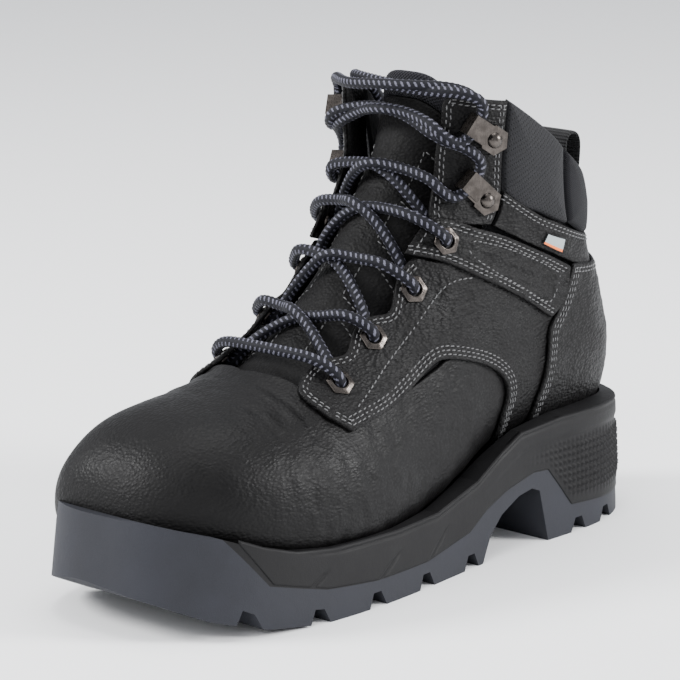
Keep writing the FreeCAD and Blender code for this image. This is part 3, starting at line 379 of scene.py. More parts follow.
def shell(outer, inner):
    """Points and quads of the closed shell between two grids that match."""
    rows, columns = outer.shape[:2]
    ids = np.arange(rows * columns).reshape(rows, columns)
    top = grid_faces(rows, columns)
    rim = np.concatenate([ids[0], ids[1:, -1], ids[-1, -2::-1], ids[-2:0:-1, 0]])
    following = np.roll(rim, -1)
    base = rows * columns
    wall = np.stack([rim, following, following + base, rim + base], -1)
    points = np.concatenate([outer.reshape(-1, 3), inner.reshape(-1, 3)])
    return points, [np.concatenate([top, top[:, ::-1] + base, wall])]


def arc(points, shares):
    """Places of a smooth (u, v) curve at shares of its length on the last."""
    fine = spline(points, np.linspace(0, 1, 400))
    run = np.linalg.norm(np.diff(place(fine[:, 0], fine[:, 1]), axis=0), axis=1)
    length = np.concatenate([[0.0], np.cumsum(run)])
    want = np.asarray(shares) * length[-1]
    return np.stack([np.interp(want, length, fine[:, k]) for k in range(2)], -1)


def length_of(points):
    """Length in mm of a smooth (u, v) curve on the last."""
    fine = spline(points, np.linspace(0, 1, 200))
    run = np.diff(place(fine[:, 0], fine[:, 1]), axis=0)
    return np.linalg.norm(run, axis=1).sum()


def rimmed(count, length, rim):
    """Shares of a length that crowd into `rim` mm at both ends."""
    close = np.array((0, .08, .25, .5, .75)) * rim / length
    return np.concatenate([close, np.linspace(rim / length, 1 - rim / length, count),
                           1 - close[::-1]])


def patch(low, high, rows, columns, start=None, end=None, rim=1.0):
    """Coons patch in (u, v): (1-q) L(s) + q H(s) + (1-s) A(q) + s B(q) - corners."""
    s = rimmed(rows, (length_of(low) + length_of(high)) / 2, rim)
    start = start or (low[0], high[0])
    end = end or (low[-1], high[-1])
    q = rimmed(columns, (length_of(start) + length_of(end)) / 2, rim)
    bottom, top = arc(low, s)[:, None], arc(high, s)[:, None]
    first, last = arc(start, q)[None], arc(end, q)[None]
    q, s = q[None, :, None], s[:, None, None]
    corners = ((1 - s) * ((1 - q) * bottom[:1] + q * top[:1])
               + s * ((1 - q) * bottom[-1:] + q * top[-1:]))
    return (1 - q) * bottom + q * top + (1 - s) * first + s * last - corners


def from_rim(points):
    """Distance in mm of each grid point from the grid's nearest edge."""
    away = None
    for axis in (0, 1):
        run = np.linalg.norm(np.diff(points, axis=axis), axis=2)
        pad = ((1, 0), (0, 0)) if axis == 0 else ((0, 0), (1, 0))
        walked = np.cumsum(np.pad(run, pad), axis=axis)
        total = walked[-1:] if axis == 0 else walked[:, -1:]
        near = np.minimum(walked, total - walked)
        away = near if away is None else np.minimum(away, near)
    return away


def rounded(distance, radius):
    """How far a round edge has dropped: r - sqrt(r^2 - (r - d)^2), 0 from r on."""
    inside = np.clip(radius - distance, 0.0, radius)
    return radius - np.sqrt(radius ** 2 - inside ** 2)


def panel(name, cells, inner, outer, material, edge=.8, inner_edge=0.0, crown=0.0,
          crown_run=6.0, relief=None, share_uv=False, body="boot"):
    """A sheet on the last over a patch of places: its face at depth
    outer - rounded(d) + crown (1 - e^(-d / run)) + relief, its back at depth inner."""
    u, v = cells[..., 0], cells[..., 1]
    face = place(u, v, outer)
    distance = from_rim(face)
    depth = outer - rounded(distance, edge) + crown * (1 - np.exp(-distance / crown_run))
    if relief is not None:
        depth = depth + relief(face, u, v) * ramp(distance, 0, 2.0)
    back = inner + (rounded(distance, inner_edge) if inner_edge else 0.0)
    points, faces = shell(place(u, v, depth), place(u, v, back + 0.0 * u))
    if share_uv:
        rows, columns = np.meshgrid(np.linspace(0, 1, u.shape[0]), np.linspace(0, 1, u.shape[1]),
                                    indexing="ij")
        flat = np.stack([rows, columns], -1)
    else:
        middle = face[:, face.shape[1] // 2]
        run = np.concatenate([[0], np.cumsum(np.linalg.norm(np.diff(middle, axis=0), axis=1))])
        across = np.cumsum(np.pad(np.linalg.norm(np.diff(face, axis=1), axis=2),
                                  ((0, 0), (1, 0))), axis=1)
        across -= across[:, face.shape[1] // 2][:, None]
        flat = np.stack([np.broadcast_to(run[:, None], across.shape), across], -1) / 10.0
    uv = np.concatenate([flat.reshape(-1, 2)] * 2)
    return finish_piece(name, points, faces, material, uv, body)


def ripples(points, size, seed, count=14, squash=(1, 1, 1)):
    """Smooth noise of about unit height: the sum of `count` seeded sine waves
    sin(k . p + phase) with wave lengths near `size` mm, over the root of count / 2."""
    dice = np.random.default_rng(seed)
    way = dice.normal(size=(count, 3))
    way /= np.linalg.norm(way, axis=1, keepdims=True)
    way *= 2 * np.pi / (size * dice.uniform(.7, 1.5, (count, 1))) * np.array(squash)
    phase = dice.uniform(0, 2 * np.pi, count)
    total = np.zeros(points.shape[:-1])
    for k in range(count):
        total += np.sin(points @ way[k] + phase[k])
    return total / math.sqrt(count / 2)


# ---------------------------------------------------------------- seams
def inset(points, offset, toward, count=500):
    """A (u, v) curve `offset` mm beside another, on the side of the place `toward`.

    With b the unit vector across the curve on the last, the step (du, dv) solves
    [Pu.Pu Pu.Pv; Pu.Pv Pv.Pv] (du, dv) = offset (Pu.b, Pv.b).
    """
    line = arc(points, np.linspace(0, 1, count))
    u, v = line.T
    here = place(u, v)
    lift = place(u, v, 1.0) - here
    run = np.gradient(here, axis=0)
    b = np.cross(lift, run)
    b /= np.linalg.norm(b, axis=1, keepdims=True)
    target = place(np.array(toward[0]), np.array(toward[1])) - here[count // 2]
    if np.dot(b[count // 2], target) < 0:
        b = -b
    e = .002
    pu = (place(u + e, v) - place(u - e, v)) / (2 * e)
    pv = (place(u, v + e) - place(u, v - e)) / (2 * e)
    uu, uv, vv = (pu * pu).sum(1), (pu * pv).sum(1), (pv * pv).sum(1)
    bu, bv = (pu * b).sum(1) * offset, (pv * b).sum(1) * offset
    det = uu * vv - uv * uv
    return line + np.stack([(bu * vv - bv * uv) / det, (bv * uu - bu * uv) / det], -1)


def stitch_frames(line, depth, trim=1.0):
    """Middle, run, across and lift of each stitch along a dense (u, v) line."""
    sizes = bpy.context.scene.boot_sizes
    pitch = sizes.pitch / MM
    at = place(line[:, 0], line[:, 1], depth)
    up = place(line[:, 0], line[:, 1], depth + 1.0)
    walked = np.concatenate([[0], np.cumsum(np.linalg.norm(np.diff(at, axis=0), axis=1))])
    spots = np.arange(trim + pitch / 2, walked[-1] - trim, pitch)
    half = sizes.stitch / MM / 2

    def read(values, where):
        return np.stack([np.interp(where, walked, values[:, k]) for k in range(3)], -1)

    middle = read(at, spots)
    run = read(at, spots + half) - read(at, spots - half)
    run /= np.linalg.norm(run, axis=1, keepdims=True) + 1e-9
    lift = read(up, spots) - middle
    across = np.cross(lift, run)
    across /= np.linalg.norm(across, axis=1, keepdims=True) + 1e-9
    return middle, run, across, np.cross(run, across)


def stitch_mesh(frames):
    """Each stitch is a bead x = L/2 sin(p), r = W/2 cos(p)^0.6 that dives at its ends:
    height = 0.12 - 0.42 (2x / L)^2 mm, ring by ring with flat ends."""
    sizes = bpy.context.scene.boot_sizes
    long, wide = sizes.stitch / MM / 2, sizes.thread / MM / 2
    middle, run, across, lift = (np.concatenate(part) for part in zip(*frames))
    phi = np.linspace(-1.35, 1.35, 5)[:, None]
    turn = np.linspace(0, 2 * np.pi, 6, endpoint=False)[None]
    x = long * np.sin(phi) / math.sin(1.35) + 0 * turn
    r = wide * np.cos(phi) ** .6
    side = r * np.sin(turn) + x * .12
    up = r * np.cos(turn) + .12 - .42 * (x / long) ** 2
    local = np.stack([x, side, up], -1).reshape(-1, 3)
    basis = np.stack([run, across, lift], 1)
    points = middle[:, None] + np.einsum("kc,ncd->nkd", local, basis)
    count, each = points.shape[:2]
    ids = np.arange(30).reshape(5, 6)
    nxt = np.roll(ids, -1, 1)
    quads = np.stack([ids[:-1], nxt[:-1], nxt[1:], ids[1:]], -1).reshape(-1, 4)
    caps = np.stack([ids[0][::-1], ids[-1]])
    step = (np.arange(count) * each)[:, None, None]
    faces = [(quads[None] + step).reshape(-1, 4), (caps[None] + step).reshape(-1, 6)]
    return points.reshape(-1, 3), faces


# ---------------------------------------------------------------- materials
class Bench:
    """A material on the bench: adds nodes and joins them to its one shader."""

    def __init__(self, name, colour, rough, metallic=0.0, specular=.5, sheen=0.0):
        self.made = bpy.data.materials.new(name)
        self.made.use_nodes = True
        self.tree = self.made.node_tree
        self.shader = self.tree.nodes["Principled BSDF"]
        self.shader.inputs["Base Color"].default_value = (*colour, 1.0)
        self.shader.inputs["Roughness"].default_value = rough
        self.shader.inputs["Metallic"].default_value = metallic
        self.shader.inputs["Specular IOR Level"].default_value = specular
        self.shader.inputs["Sheen Weight"].default_value = sheen
        self.shader.inputs["Sheen Roughness"].default_value = .45
        self.colour = colour
        self.height = None

    def node(self, kind, inputs=(), **settings):
        """A node with its settings; an input is a number, a colour or another socket."""
        node = self.tree.nodes.new("ShaderNode" + kind)
        for key, value in settings.items():
            setattr(node, key, value)
        for key, value in dict(inputs).items():
            if isinstance(value, bpy.types.NodeSocket):
                self.tree.links.new(value, node.inputs[key])
            else:
                node.inputs[key].default_value = value
        return node

    def coords(self, kind="Object", scale=(1, 1, 1), turn=(0, 0, 0)):
        source = self.node("TexCoord").outputs[kind]
        return self.node("Mapping", {"Vector": source, "Scale": scale,
                                     "Rotation": turn}).outputs[0]

    def noise(self, scale, detail=3.0, rough=.55, vector=None, distortion=0.0):
        vector = vector or self.coords()
        return self.node("TexNoise", {"Vector": vector, "Scale": scale, "Detail": detail,
                                      "Roughness": rough,
                                      "Distortion": distortion}).outputs["Fac"]

    def cells(self, scale, vector=None, feature="F1", smooth=.6):
        vector = vector or self.coords()
        inputs = {"Vector": vector, "Scale": scale}
        if feature == "SMOOTH_F1":
            inputs["Smoothness"] = smooth
        node = self.node("TexVoronoi", inputs, feature=feature)
        return node.outputs["Distance"]

    def math(self, operation, a, b=0.0, c=0.0):
        return self.node("Math", {0: a, 1: b, 2: c}, operation=operation).outputs[0]

    def between(self, value, low, high, to_low=0.0, to_high=1.0):
        return self.node("MapRange", {"Value": value, "From Min": low, "From Max": high,
                                      "To Min": to_low, "To Max": to_high}).outputs[0]

    def mix(self, share, a, b):
        node = self.node("Mix", data_type="RGBA")
        for index, value in ((0, share), (6, a), (7, b)):
            if isinstance(value, bpy.types.NodeSocket):
                self.tree.links.new(value, node.inputs[index])
            elif index == 0:
                node.inputs[index].default_value = value
            else:
                node.inputs[index].default_value = (*value, 1.0)
        return node.outputs[2]

    def paint(self, socket):
        self.tree.links.new(socket, self.shader.inputs["Base Color"])

    def rough(self, socket):
        self.tree.links.new(socket, self.shader.inputs["Roughness"])

    def bump(self, height, distance, strength=1.0):
        """Adds one bump over those before it; distance is in metres."""
        inputs = {"Height": height, "Distance": distance, "Strength": strength}
        if self.height is not None:
            inputs["Normal"] = self.height
        self.height = self.node("Bump", inputs).outputs[0]
        self.tree.links.new(self.height, self.shader.inputs["Normal"])


def shaded(colour, factor):
    return tuple(min(c * factor, 1.0) for c in colour)


def leather_finish(name, grain, sheen_rough, factor=1.0):
    """Oiled leather: rounded pebbles over fine pores, cloudy colour, worn soft gloss."""
    colour = shaded(bpy.context.scene.boot_colours.leather, factor)
    bench = Bench(name, colour, sheen_rough, specular=.14)
    cloud = bench.noise(55, 5, .6)
    streak = bench.noise(210, 4, .6, bench.coords(scale=(1.0, .35, 1.6)), .8)
    tone = bench.mix(bench.between(cloud, .35, .7), shaded(colour, .80), shaded(colour, 1.45))
    pebble = bench.cells(760, bench.coords(scale=(1.0, .75, 1.15)), "SMOOTH_F1", .35)
    valley = bench.between(pebble, .25, .65, 1.0, .62)
    bench.paint(bench.mix(bench.math("MULTIPLY", bench.between(streak, .45, .75), .35), tone,
                          shaded(colour, 1.9)))
    gloss = bench.between(cloud, .3, .7, sheen_rough - .06, sheen_rough + .09)
    bench.rough(bench.math("ADD", gloss, bench.between(valley, .6, 1.0, .10, 0.0)))
    bench.bump(pebble, -.00042 * grain, .9)
    bench.bump(streak, .00065 * grain, .8)
    bench.bump(bench.noise(3200, 3, .6), .00006, .6)
    return bench.made


def cloth_finish(name, colour, pitch=1.1, relief=.00025, sheen=.04):
    """Knitted or woven textile in UV: raised threads in both directions, painted lighter on their
    tops as a painted highlight and darker between them as painted shade.
    """
    bench = Bench(name, colour, .88, specular=.18, sheen=sheen)
    uv = bench.node("TexCoord").outputs["UV"]
    parts = bench.node("SeparateXYZ", {0: uv})
    turn = 2 * math.pi * 10.0 / pitch
    a = bench.math("SINE", bench.math("MULTIPLY", parts.outputs[0], turn))
    b = bench.math("SINE", bench.math("MULTIPLY", parts.outputs[1], turn))
    weave = bench.math("MULTIPLY", a, b)
    bench.bump(weave, relief, .8)
    bench.bump(bench.noise(2600, 2), .00008, .6)
    # painted highlight on the raised threads and painted shade between them: the colour follows
    # the weave's relief
    bench.paint(bench.mix(bench.between(weave, -.6, .9), shaded(colour, .55),
                          shaded(colour, 1.5)))
    return bench.made


def solid_weave(name, colour, scale=700.0, sheen=.03):
    """Textile for moulded or CAD pieces: fine knit cells in object space."""
    bench = Bench(name, colour, .9, specular=.2, sheen=sheen)
    knit = bench.cells(scale)
    bench.bump(knit, .00025, .7)
    bench.paint(bench.mix(bench.between(knit, .1, .6), shaded(colour, 1.35),
                          shaded(colour, .6)))
    return bench.made


def mesh_finish(name, colour):
    """Perforated collar textile: a staggered field of small round holes in UV, with painted shade
    in the holes.
    """
    bench = Bench(name, colour, .68, specular=.2, sheen=.03)
    uv = bench.node("TexCoord").outputs["UV"]
    turned = bench.node("Mapping", {"Vector": uv, "Rotation": (0, 0, math.radians(45)),
                                    "Scale": (6.4, 6.4, 6.4)}).outputs[0]
    cell = bench.node("VectorMath", {0: turned}, operation="FRACTION").outputs[0]
    centred = bench.node("VectorMath", {0: cell, 1: (.5, .5, 0)},
                         operation="SUBTRACT").outputs[0]
    flat = bench.node("VectorMath", {0: centred, 1: (1, 1, 0)},
                      operation="MULTIPLY").outputs[0]
    reach = bench.node("VectorMath", {0: flat}, operation="LENGTH").outputs[1]
    hole = bench.between(reach, .16, .28, 0.0, 1.0)
    grain = bench.noise(900, 3)
    tone = bench.mix(bench.between(grain, .3, .7), shaded(colour, .8), shaded(colour, 1.3))
    # painted shade: the holes are painted darker, as the shade inside them
    bench.paint(bench.mix(hole, shaded(colour, .3), tone))
    bench.bump(hole, .0004, .9)
    bench.bump(grain, .0001, .6)
    return bench.made


def rubber_finish(name, colour, rough=.62, dust=1.25):
    """Moulded rubber: matt, finely textured by the mould, with faint paler scuffs."""
    bench = Bench(name, colour, rough, specular=.19)
    cloud = bench.noise(38, 4, .6)
    fine = bench.noise(2100, 3, .65)
    tone = bench.mix(bench.between(cloud, .3, .72), shaded(colour, .88), shaded(colour, dust))
    bench.paint(bench.mix(bench.between(fine, .55, .8, 0, .35), tone, shaded(colour, dust * 1.2)))
    bench.rough(bench.between(cloud, .3, .7, rough - .05, rough + .1))
    bench.bump(fine, .00009, .8)
    bench.bump(bench.noise(420, 3), .00016, .5)
    return bench.made


def metal_finish(name, colour, rough):
    """Plated metal: fine polishing marks, darker in places."""
    bench = Bench(name, colour, rough, metallic=1.0)
    cloud = bench.noise(300, 3)
    marks = bench.noise(1800, 2, .5, bench.coords(scale=(1, 1, .12)))
    bench.paint(bench.mix(bench.between(cloud, .35, .7), shaded(colour, .7),
                          shaded(colour, 1.25)))
    bench.rough(bench.between(marks, .3, .7, rough - .06, rough + .12))
    bench.bump(marks, .00002, .5)
    return bench.made


def thread_finish(name, colour):
    """Twisted waxed thread: fine noise for its plies, in colour and relief."""
    bench = Bench(name, colour, .6, specular=.35, sheen=.1)
    ply = bench.noise(1700, 2)
    bench.paint(bench.mix(bench.between(ply, .35, .65), shaded(colour, .6),
                          shaded(colour, 1.25)))
    bench.bump(ply, .00012, .7)
    return bench.made


def lace_finish(name, dark, light):
    """Round braided lace: the light yarn shows where the piece's fleck attribute is 1."""
    bench = Bench(name, dark, .66, specular=.2, sheen=.02)
    fleck = bench.node("Attribute", attribute_name="fleck").outputs["Fac"]
    yarn = bench.noise(2400, 2)
    pale = bench.mix(bench.between(yarn, .3, .7), shaded(light, .75), shaded(light, 1.2))
    deep = bench.mix(bench.between(yarn, .3, .7), shaded(dark, .7), shaded(dark, 1.5))
    bench.paint(bench.mix(bench.between(fleck, .40, .62), deep, pale))
    bench.bump(yarn, .00012, .6)
    return bench.made


def web_finish(name, colour):
    """Ribbed webbing in UV: bars across the strap, broken by its warp threads; the bars are
    painted lighter as a painted highlight and the grooves between them darker as painted shade.
    """
    bench = Bench(name, colour, .74, specular=.25, sheen=.03)
    uv = bench.node("TexCoord").outputs["UV"]
    parts = bench.node("SeparateXYZ", {0: uv})
    bars = bench.math("SINE", bench.math("MULTIPLY", parts.outputs[0], 2 * math.pi * 7.5))
    warp = bench.math("SINE", bench.math("MULTIPLY", parts.outputs[1], 2 * math.pi * 11.0))
    bench.bump(bench.math("ADD", bars, bench.math("MULTIPLY", warp, .45)), .00022, .9)
    # painted highlight on the raised bars and painted shade in the grooves between them
    bench.paint(bench.mix(bench.between(bars, -.5, 1.0), shaded(colour, .6),
                          shaded(colour, 1.9)))
    return bench.made


def label_finish(name, stripe):
    """Woven label in share coordinates: dark border, pale field, one stripe."""
    bench = Bench(name, (.30, .33, .34), .7, specular=.3)
    parts = bench.node("SeparateXYZ", {0: bench.node("TexCoord").outputs["UV"]})
    x, y = parts.outputs[0], parts.outputs[1]
    field = bench.mix(bench.between(y, .30, .31), stripe, (.30, .34, .35))
    near_x = bench.math("ABSOLUTE", bench.math("SUBTRACT", x, .5))
    near_y = bench.math("ABSOLUTE", bench.math("SUBTRACT", y, .5))
    edge = bench.math("MAXIMUM", bench.between(near_x, .40, .41), bench.between(near_y, .34, .35))
    bench.paint(bench.mix(edge, field, (.012, .012, .013)))
    bench.bump(bench.noise(2600, 2, .5, bench.coords(scale=(1, 1, .2))), .0001, .8)
    return bench.made


finishes = {}


def finish(name):
    """The boot's material of that name, made when it is first asked for."""
    colours = bpy.context.scene.boot_colours
    makers = {
        "pebbled leather": lambda n: leather_finish(n, 1.15, .46),
        "toe leather": lambda n: leather_finish(n, .55, .42, .92),
        "tongue leather": lambda n: leather_finish(n, .8, .56, .85),
        "thread": lambda n: thread_finish(n, colours.thread),
        "outsole rubber": lambda n: rubber_finish(n, colours.outsole, .60),
        "midsole foam": lambda n: rubber_finish(n, colours.midsole, .58, 1.35),
        "gunmetal": lambda n: metal_finish(n, colours.metal, .27),
        "steel": lambda n: metal_finish(n, (.45, .46, .48), .35),
        "lace": lambda n: lace_finish(n, colours.lace, colours.fleck),
        "webbing": lambda n: web_finish(n, (.005, .005, .0055)),
        "collar mesh": lambda n: mesh_finish(n, (.0075, .0075, .009)),
        "collar cloth": lambda n: cloth_finish(n, (.0085, .0085, .0105), .8),
        "tongue cloth": lambda n: cloth_finish(n, (.010, .010, .013), 1.6, .0004),
        "lining": lambda n: solid_weave(n, (.006, .006, .007)),
        "footbed cloth": lambda n: solid_weave(n, (.010, .010, .012), 520),
        "board": lambda n: solid_weave(n, (.36, .29, .20), 900, 0),
        "tip": lambda n: rubber_finish(n, (.012, .012, .015), .35),
        "label": lambda n: label_finish(n, colours.stripe),
    }
    if name not in finishes:
        finishes[name] = makers[name](name)
    return finishes[name]


# ---------------------------------------------------------------- relief of the leather
def pebble_relief(strength):
    """Soft dents and creases of pebbled leather: ripples 14, 5 and 2.6 mm long."""
    def relief(face, u, v):
        return strength * (.10 * ripples(face, 14, 5) + .05 * ripples(face, 5, 6)
                           + .028 * ripples(face, 2.6, 9))
    return relief


def strap_relief(face, u, v):
    """The whole strap is wrinkled across it, over broader ripples."""
    wrinkle = ripples(face, 7, 31, squash=(1, .6, 1.7)) + .6 * ripples(face, 3.2, 32)
    return .10 * ripples(face, 12, 33) + .15 * wrinkle


def vamp_relief(face, u, v):
    """Smooth over the steel toe; behind it the leather ripples where the foot flexes."""
    behind = ramp(u, .20, .33)
    crease = ripples(face, 11, 21, squash=(.5, 1.6, .9))
    return behind * (.16 * crease + .05 * ripples(face, 4.5, 22)) + .03 * ripples(face, 26, 23)


# ---------------------------------------------------------------- operators
class PieceOperator:
    """What the boot's operators share: they work in the scene that holds the frame."""

    bl_options = {"REGISTER", "UNDO"}

    @classmethod
    def poll(cls, context):
        return bool(frame["nodes"])


class BOOT_OT_vamp(PieceOperator, bpy.types.Operator):
    """Vamp over the toe: rows run from the toe tip back to its rear edge."""

    bl_idname = "boot.vamp"
    bl_label = "Vamp"

    def execute(self, context):
        across = np.linspace(-1, 1, 241)
        rear = spline(VAMP_REAR, 1 - np.abs(across))
        p = np.linspace(0, 1, 170)[None] ** 1.35
        u = .018 + (rear[:, :1] - .018) * p
        v = np.where(across > 0, 1, -1)[:, None] * rear[:, 1:] + 0 * p
        v[len(across) // 2] = 1.0
        cells = np.stack([u, v], -1)
        piece = panel("vamp_leather", cells, VAMP_IN, VAMP_OUT, finish("toe leather"),
                      relief=vamp_relief)
        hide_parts("vamp")
        return {"FINISHED"}


class BOOT_OT_quarters(PieceOperator, bpy.types.Operator):
    """Quarters with their scalloped eyelet tabs, and the straps over them."""

    bl_idname = "boot.quarters"
    bl_label = "Quarters and straps"

    def execute(self, context):
        for name, side in SIDES:
            cells = patch(sided(QUARTER_LOW, side), sided(QUARTER_FRONT, side), 230, 70, rim=.9)
            piece = panel("quarter_leather_" + name, cells, QUARTER_IN, QUARTER_OUT,
                          finish("pebbled leather"),
                          relief=pebble_relief(1.0))
            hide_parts("quarter_" + name)
            cells = patch(sided(STRAP_LOW, side), sided(STRAP_HIGH, side), 130, 36, rim=.9)
            piece = panel("strap_leather_" + name, cells, OVERLAY_IN, OVERLAY_OUT,
                          finish("pebbled leather"),
                          relief=strap_relief)
            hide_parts("ankle_strap_" + name)
        return {"FINISHED"}


class BOOT_OT_heel(PieceOperator, bpy.types.Operator):
    """Heel counter cover and the collar band above it, both round the back."""

    bl_idname = "boot.heel"
    bl_label = "Heel leather"

    def execute(self, context):
        end = [(u, -v) for u, v in COUNTER_EDGE]
        cells = patch(over_back(COUNTER_LOW), over_back(COUNTER_HIGH), 220, 110,
                      list(COUNTER_EDGE), end, rim=.9)
        piece = panel("counter_leather", cells, OVERLAY_IN, OVERLAY_OUT,
                      finish("pebbled leather"), relief=pebble_relief(1.0))
        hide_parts("heel_counter_cover")
        cells = patch(over_back(BAND_LOW), over_back(BAND_HIGH), 240, 36, rim=.9)
        piece = panel("band_leather", cells, QUARTER_IN, QUARTER_OUT,
                      finish("pebbled leather"), relief=pebble_relief(1.0))
        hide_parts("collar_band")
        return {"FINISHED"}


class BOOT_OT_hook_panels(PieceOperator, bpy.types.Operator):
    """Leather panels under the lace hooks, up to the top of the throat."""

    bl_idname = "boot.hook_panels"
    bl_label = "Hook panels"

    def execute(self, context):
        for name, side in SIDES:
            cells = patch(sided(PANEL_BACK, side), sided(PANEL_FRONT, side), 150, 40, rim=.9)
            piece = panel("hook_leather_" + name, cells, QUARTER_IN, QUARTER_OUT,
                          finish("pebbled leather"),
                          relief=pebble_relief(.8))
            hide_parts("hook_panel_" + name)
        return {"FINISHED"}


class BOOT_OT_collar(PieceOperator, bpy.types.Operator):
    """Padded collar: one perforated pad at each side and one pad round the back."""

    bl_idname = "boot.collar"
    bl_label = "Collar pads"

    def execute(self, context):
        for name, side in SIDES:
            cells = patch(sided(COLLAR_LOW, side), sided(COLLAR_HIGH, side), 60, 60,
                          sided(COLLAR_START, side), rim=2.6)
            piece = panel("collar_cushion_" + name, cells, VAMP_IN - .2, PAD_OUT - 1.3,
                          finish("collar mesh"), edge=2.2, inner_edge=2.2,
                          crown=2.6, crown_run=7.0)
            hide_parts("collar_pad_" + name)
        cells = patch(over_back(BACK_PAD_LOW), over_back(BACK_PAD_HIGH), 120, 44, rim=2.6)
        piece = panel("collar_cushion_back", cells, VAMP_IN - .2, PAD_OUT - 1.0,
                      finish("collar cloth"), edge=2.2, inner_edge=2.2,
                      crown=2.4, crown_run=7.0)
        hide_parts("collar_back_pad")
        return {"FINISHED"}


def tongue_cells(first, last, rows, columns, rim):
    """Places over the ridge: v = 1 + k (1 - edge(u)), k from -1 to 1."""
    u = first + (last - first) * rimmed(rows, 200 * (last - first), rim)
    k = 2 * rimmed(columns, 60, rim) - 1
    return np.stack([u[:, None] + 0 * k[None], 1 + k[None] * (1 - tongue_edge(u))[:, None]], -1)


def tongue_piece(name, cells, outer, inner, material, edge, inner_edge, crown=0.0,
                 relief=None):
    """A layer of the tongue, its depths counted from the tongue's face."""
    u, v = cells[..., 0], cells[..., 1]
    rest = tongue_depth(u)
    face = place(u, v, rest + outer)
    distance = from_rim(face)
    top = rest + outer - rounded(distance, edge) + crown * (1 - np.exp(-distance / 7.0))
    if relief is not None:
        top = top + relief(face, u, v) * ramp(distance, 0, 2.0)
    back = rest + inner + (rounded(distance, inner_edge) if inner_edge else 0.0)
    points, faces = shell(place(u, v, top), place(u, v, back))
    run = np.cumsum(np.pad(np.linalg.norm(np.diff(face, axis=0), axis=2), ((1, 0), (0, 0))), 0)
    across = np.cumsum(np.pad(np.linalg.norm(np.diff(face, axis=1), axis=2),
                              ((0, 0), (1, 0))), 1)
    across -= across[:, face.shape[1] // 2][:, None]
    uv = np.concatenate([(np.stack([run, across], -1) / 10).reshape(-1, 2)] * 2)
    return finish_piece(name, points, faces, material, uv, "tongue")


class BOOT_OT_tongue(PieceOperator, bpy.types.Operator):
    """Tongue: a leather face, a ribbed textile top and the padding behind them."""

    bl_idname = "boot.tongue"
    bl_label = "Tongue"

    def execute(self, context):
        face = tongue_piece("tongue_leather", tongue_cells(TONGUE_FIRST, FACE_END, 150, 60, .8),
                            .1, -1.2, finish("tongue leather"), .7, 0,
                            relief=pebble_relief(.9))
        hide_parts("tongue_face")
        top = tongue_piece("tongue_top_cloth", tongue_cells(TOP_FIRST, TONGUE_END, 40, 60, 2.0),
                           .2, -3.0, finish("tongue cloth"), 1.5, 1.2, 1.0)
        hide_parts("tongue_top")
        cushion = tongue_piece("tongue_cushion", tongue_cells(TONGUE_FIRST, TONGUE_END - .004,
                                                              90, 50, 3.4),
                               -1.5, -8.2, finish("lining"), 3.0, 3.0)
        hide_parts("tongue_pad")
        return {"FINISHED"}


class BOOT_OT_gussets(PieceOperator, bpy.types.Operator):
    """Soft webs from the tongue's sides to the quarters, sagging between them."""

    bl_idname = "boot.gussets"
    bl_label = "Gussets"

    def execute(self, context):
        for name, side in SIDES:
            u = np.linspace(.372, .60, 60)[:, None]
            q = np.linspace(0, 1, 24)[None]
            v = side * ((.705 + .012 * q) + 0 * u)
            depth = -2.9 + (tongue_depth(u) - 3.2 + 2.9) * q - 1.2 * np.sin(np.pi * q)
            points, faces = shell(place(u + 0 * q, v, depth),
                                  place(u + 0 * q, v - side * .010, depth - .4))
            piece = finish_piece("gusset_web_" + name, points, faces, finish("lining"),
                                 points[:, :2] / 10, body=None)
            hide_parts("gusset_" + name)
            ends = place(np.array((.48, .48)), np.array((.705, .717)) * side,
                         np.array((-2.9, -9.5)))
            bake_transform(piece)
        return {"FINISHED"}


class BOOT_OT_stitching(PieceOperator, bpy.types.Operator):
    """The rows of stitches on the panels, as one mesh for each side; the tongue's rows are made by
    the tongue stitching operator.
    """

    bl_idname = "boot.stitching"
    bl_label = "Stitching"

    def execute(self, context):
        over, top = QUARTER_OUT, OVERLAY_OUT
        seams = (
            (QUARTER_LOW, (2.0, 3.7, 5.4), (.50, .70), over),
            (QUARTER_FRONT_SEEN, (1.9, 3.5), (.45, .70), over),
            (((.375, .642), (.352, .705)), (2.0, 3.7), (.45, .70), over),
            (QUARTER_LINE, (0.0,), (.5, .7), over),
            (STRAP_LOW, (1.9, 3.6), (.70, .65), top),
            (STRAP_HIGH, (1.9, 3.6), (.65, .65), top),
            (((.570, .816), (.624, .815)), (2.0,), (.66, .70), top),
            (STRAP_INSET, (0.0,), (.7, .6), top),
            (COUNTER_EDGE, (1.9, 3.5, 5.1), (.75, .2), top),
            (COUNTER_HIGH, (1.9, 3.5), (.80, .05), top),
            (PANEL_FRONT, (1.9, 3.6), (.80, .70), over),
            (PANEL_BACK, (1.8, 3.4), (.85, .76), over),
            (((.953, .806), (.984, .628)), (2.0, 3.6), (.85, .74), over),
            (BAND_HIGH, (1.6, 3.2), (.84, .40), over),
        )
        for name, side in SIDES:
            frames = []
            for points, offsets, toward, depth in seams:
                for offset in offsets:
                    line = inset(sided(points, side), offset, (toward[0], toward[1] * side))
                    frames.append(stitch_frames(line, depth))
            points, faces = stitch_mesh(frames)
            finish_piece("stitching_" + name, points, faces, finish("thread"))
        return {"FINISHED"}


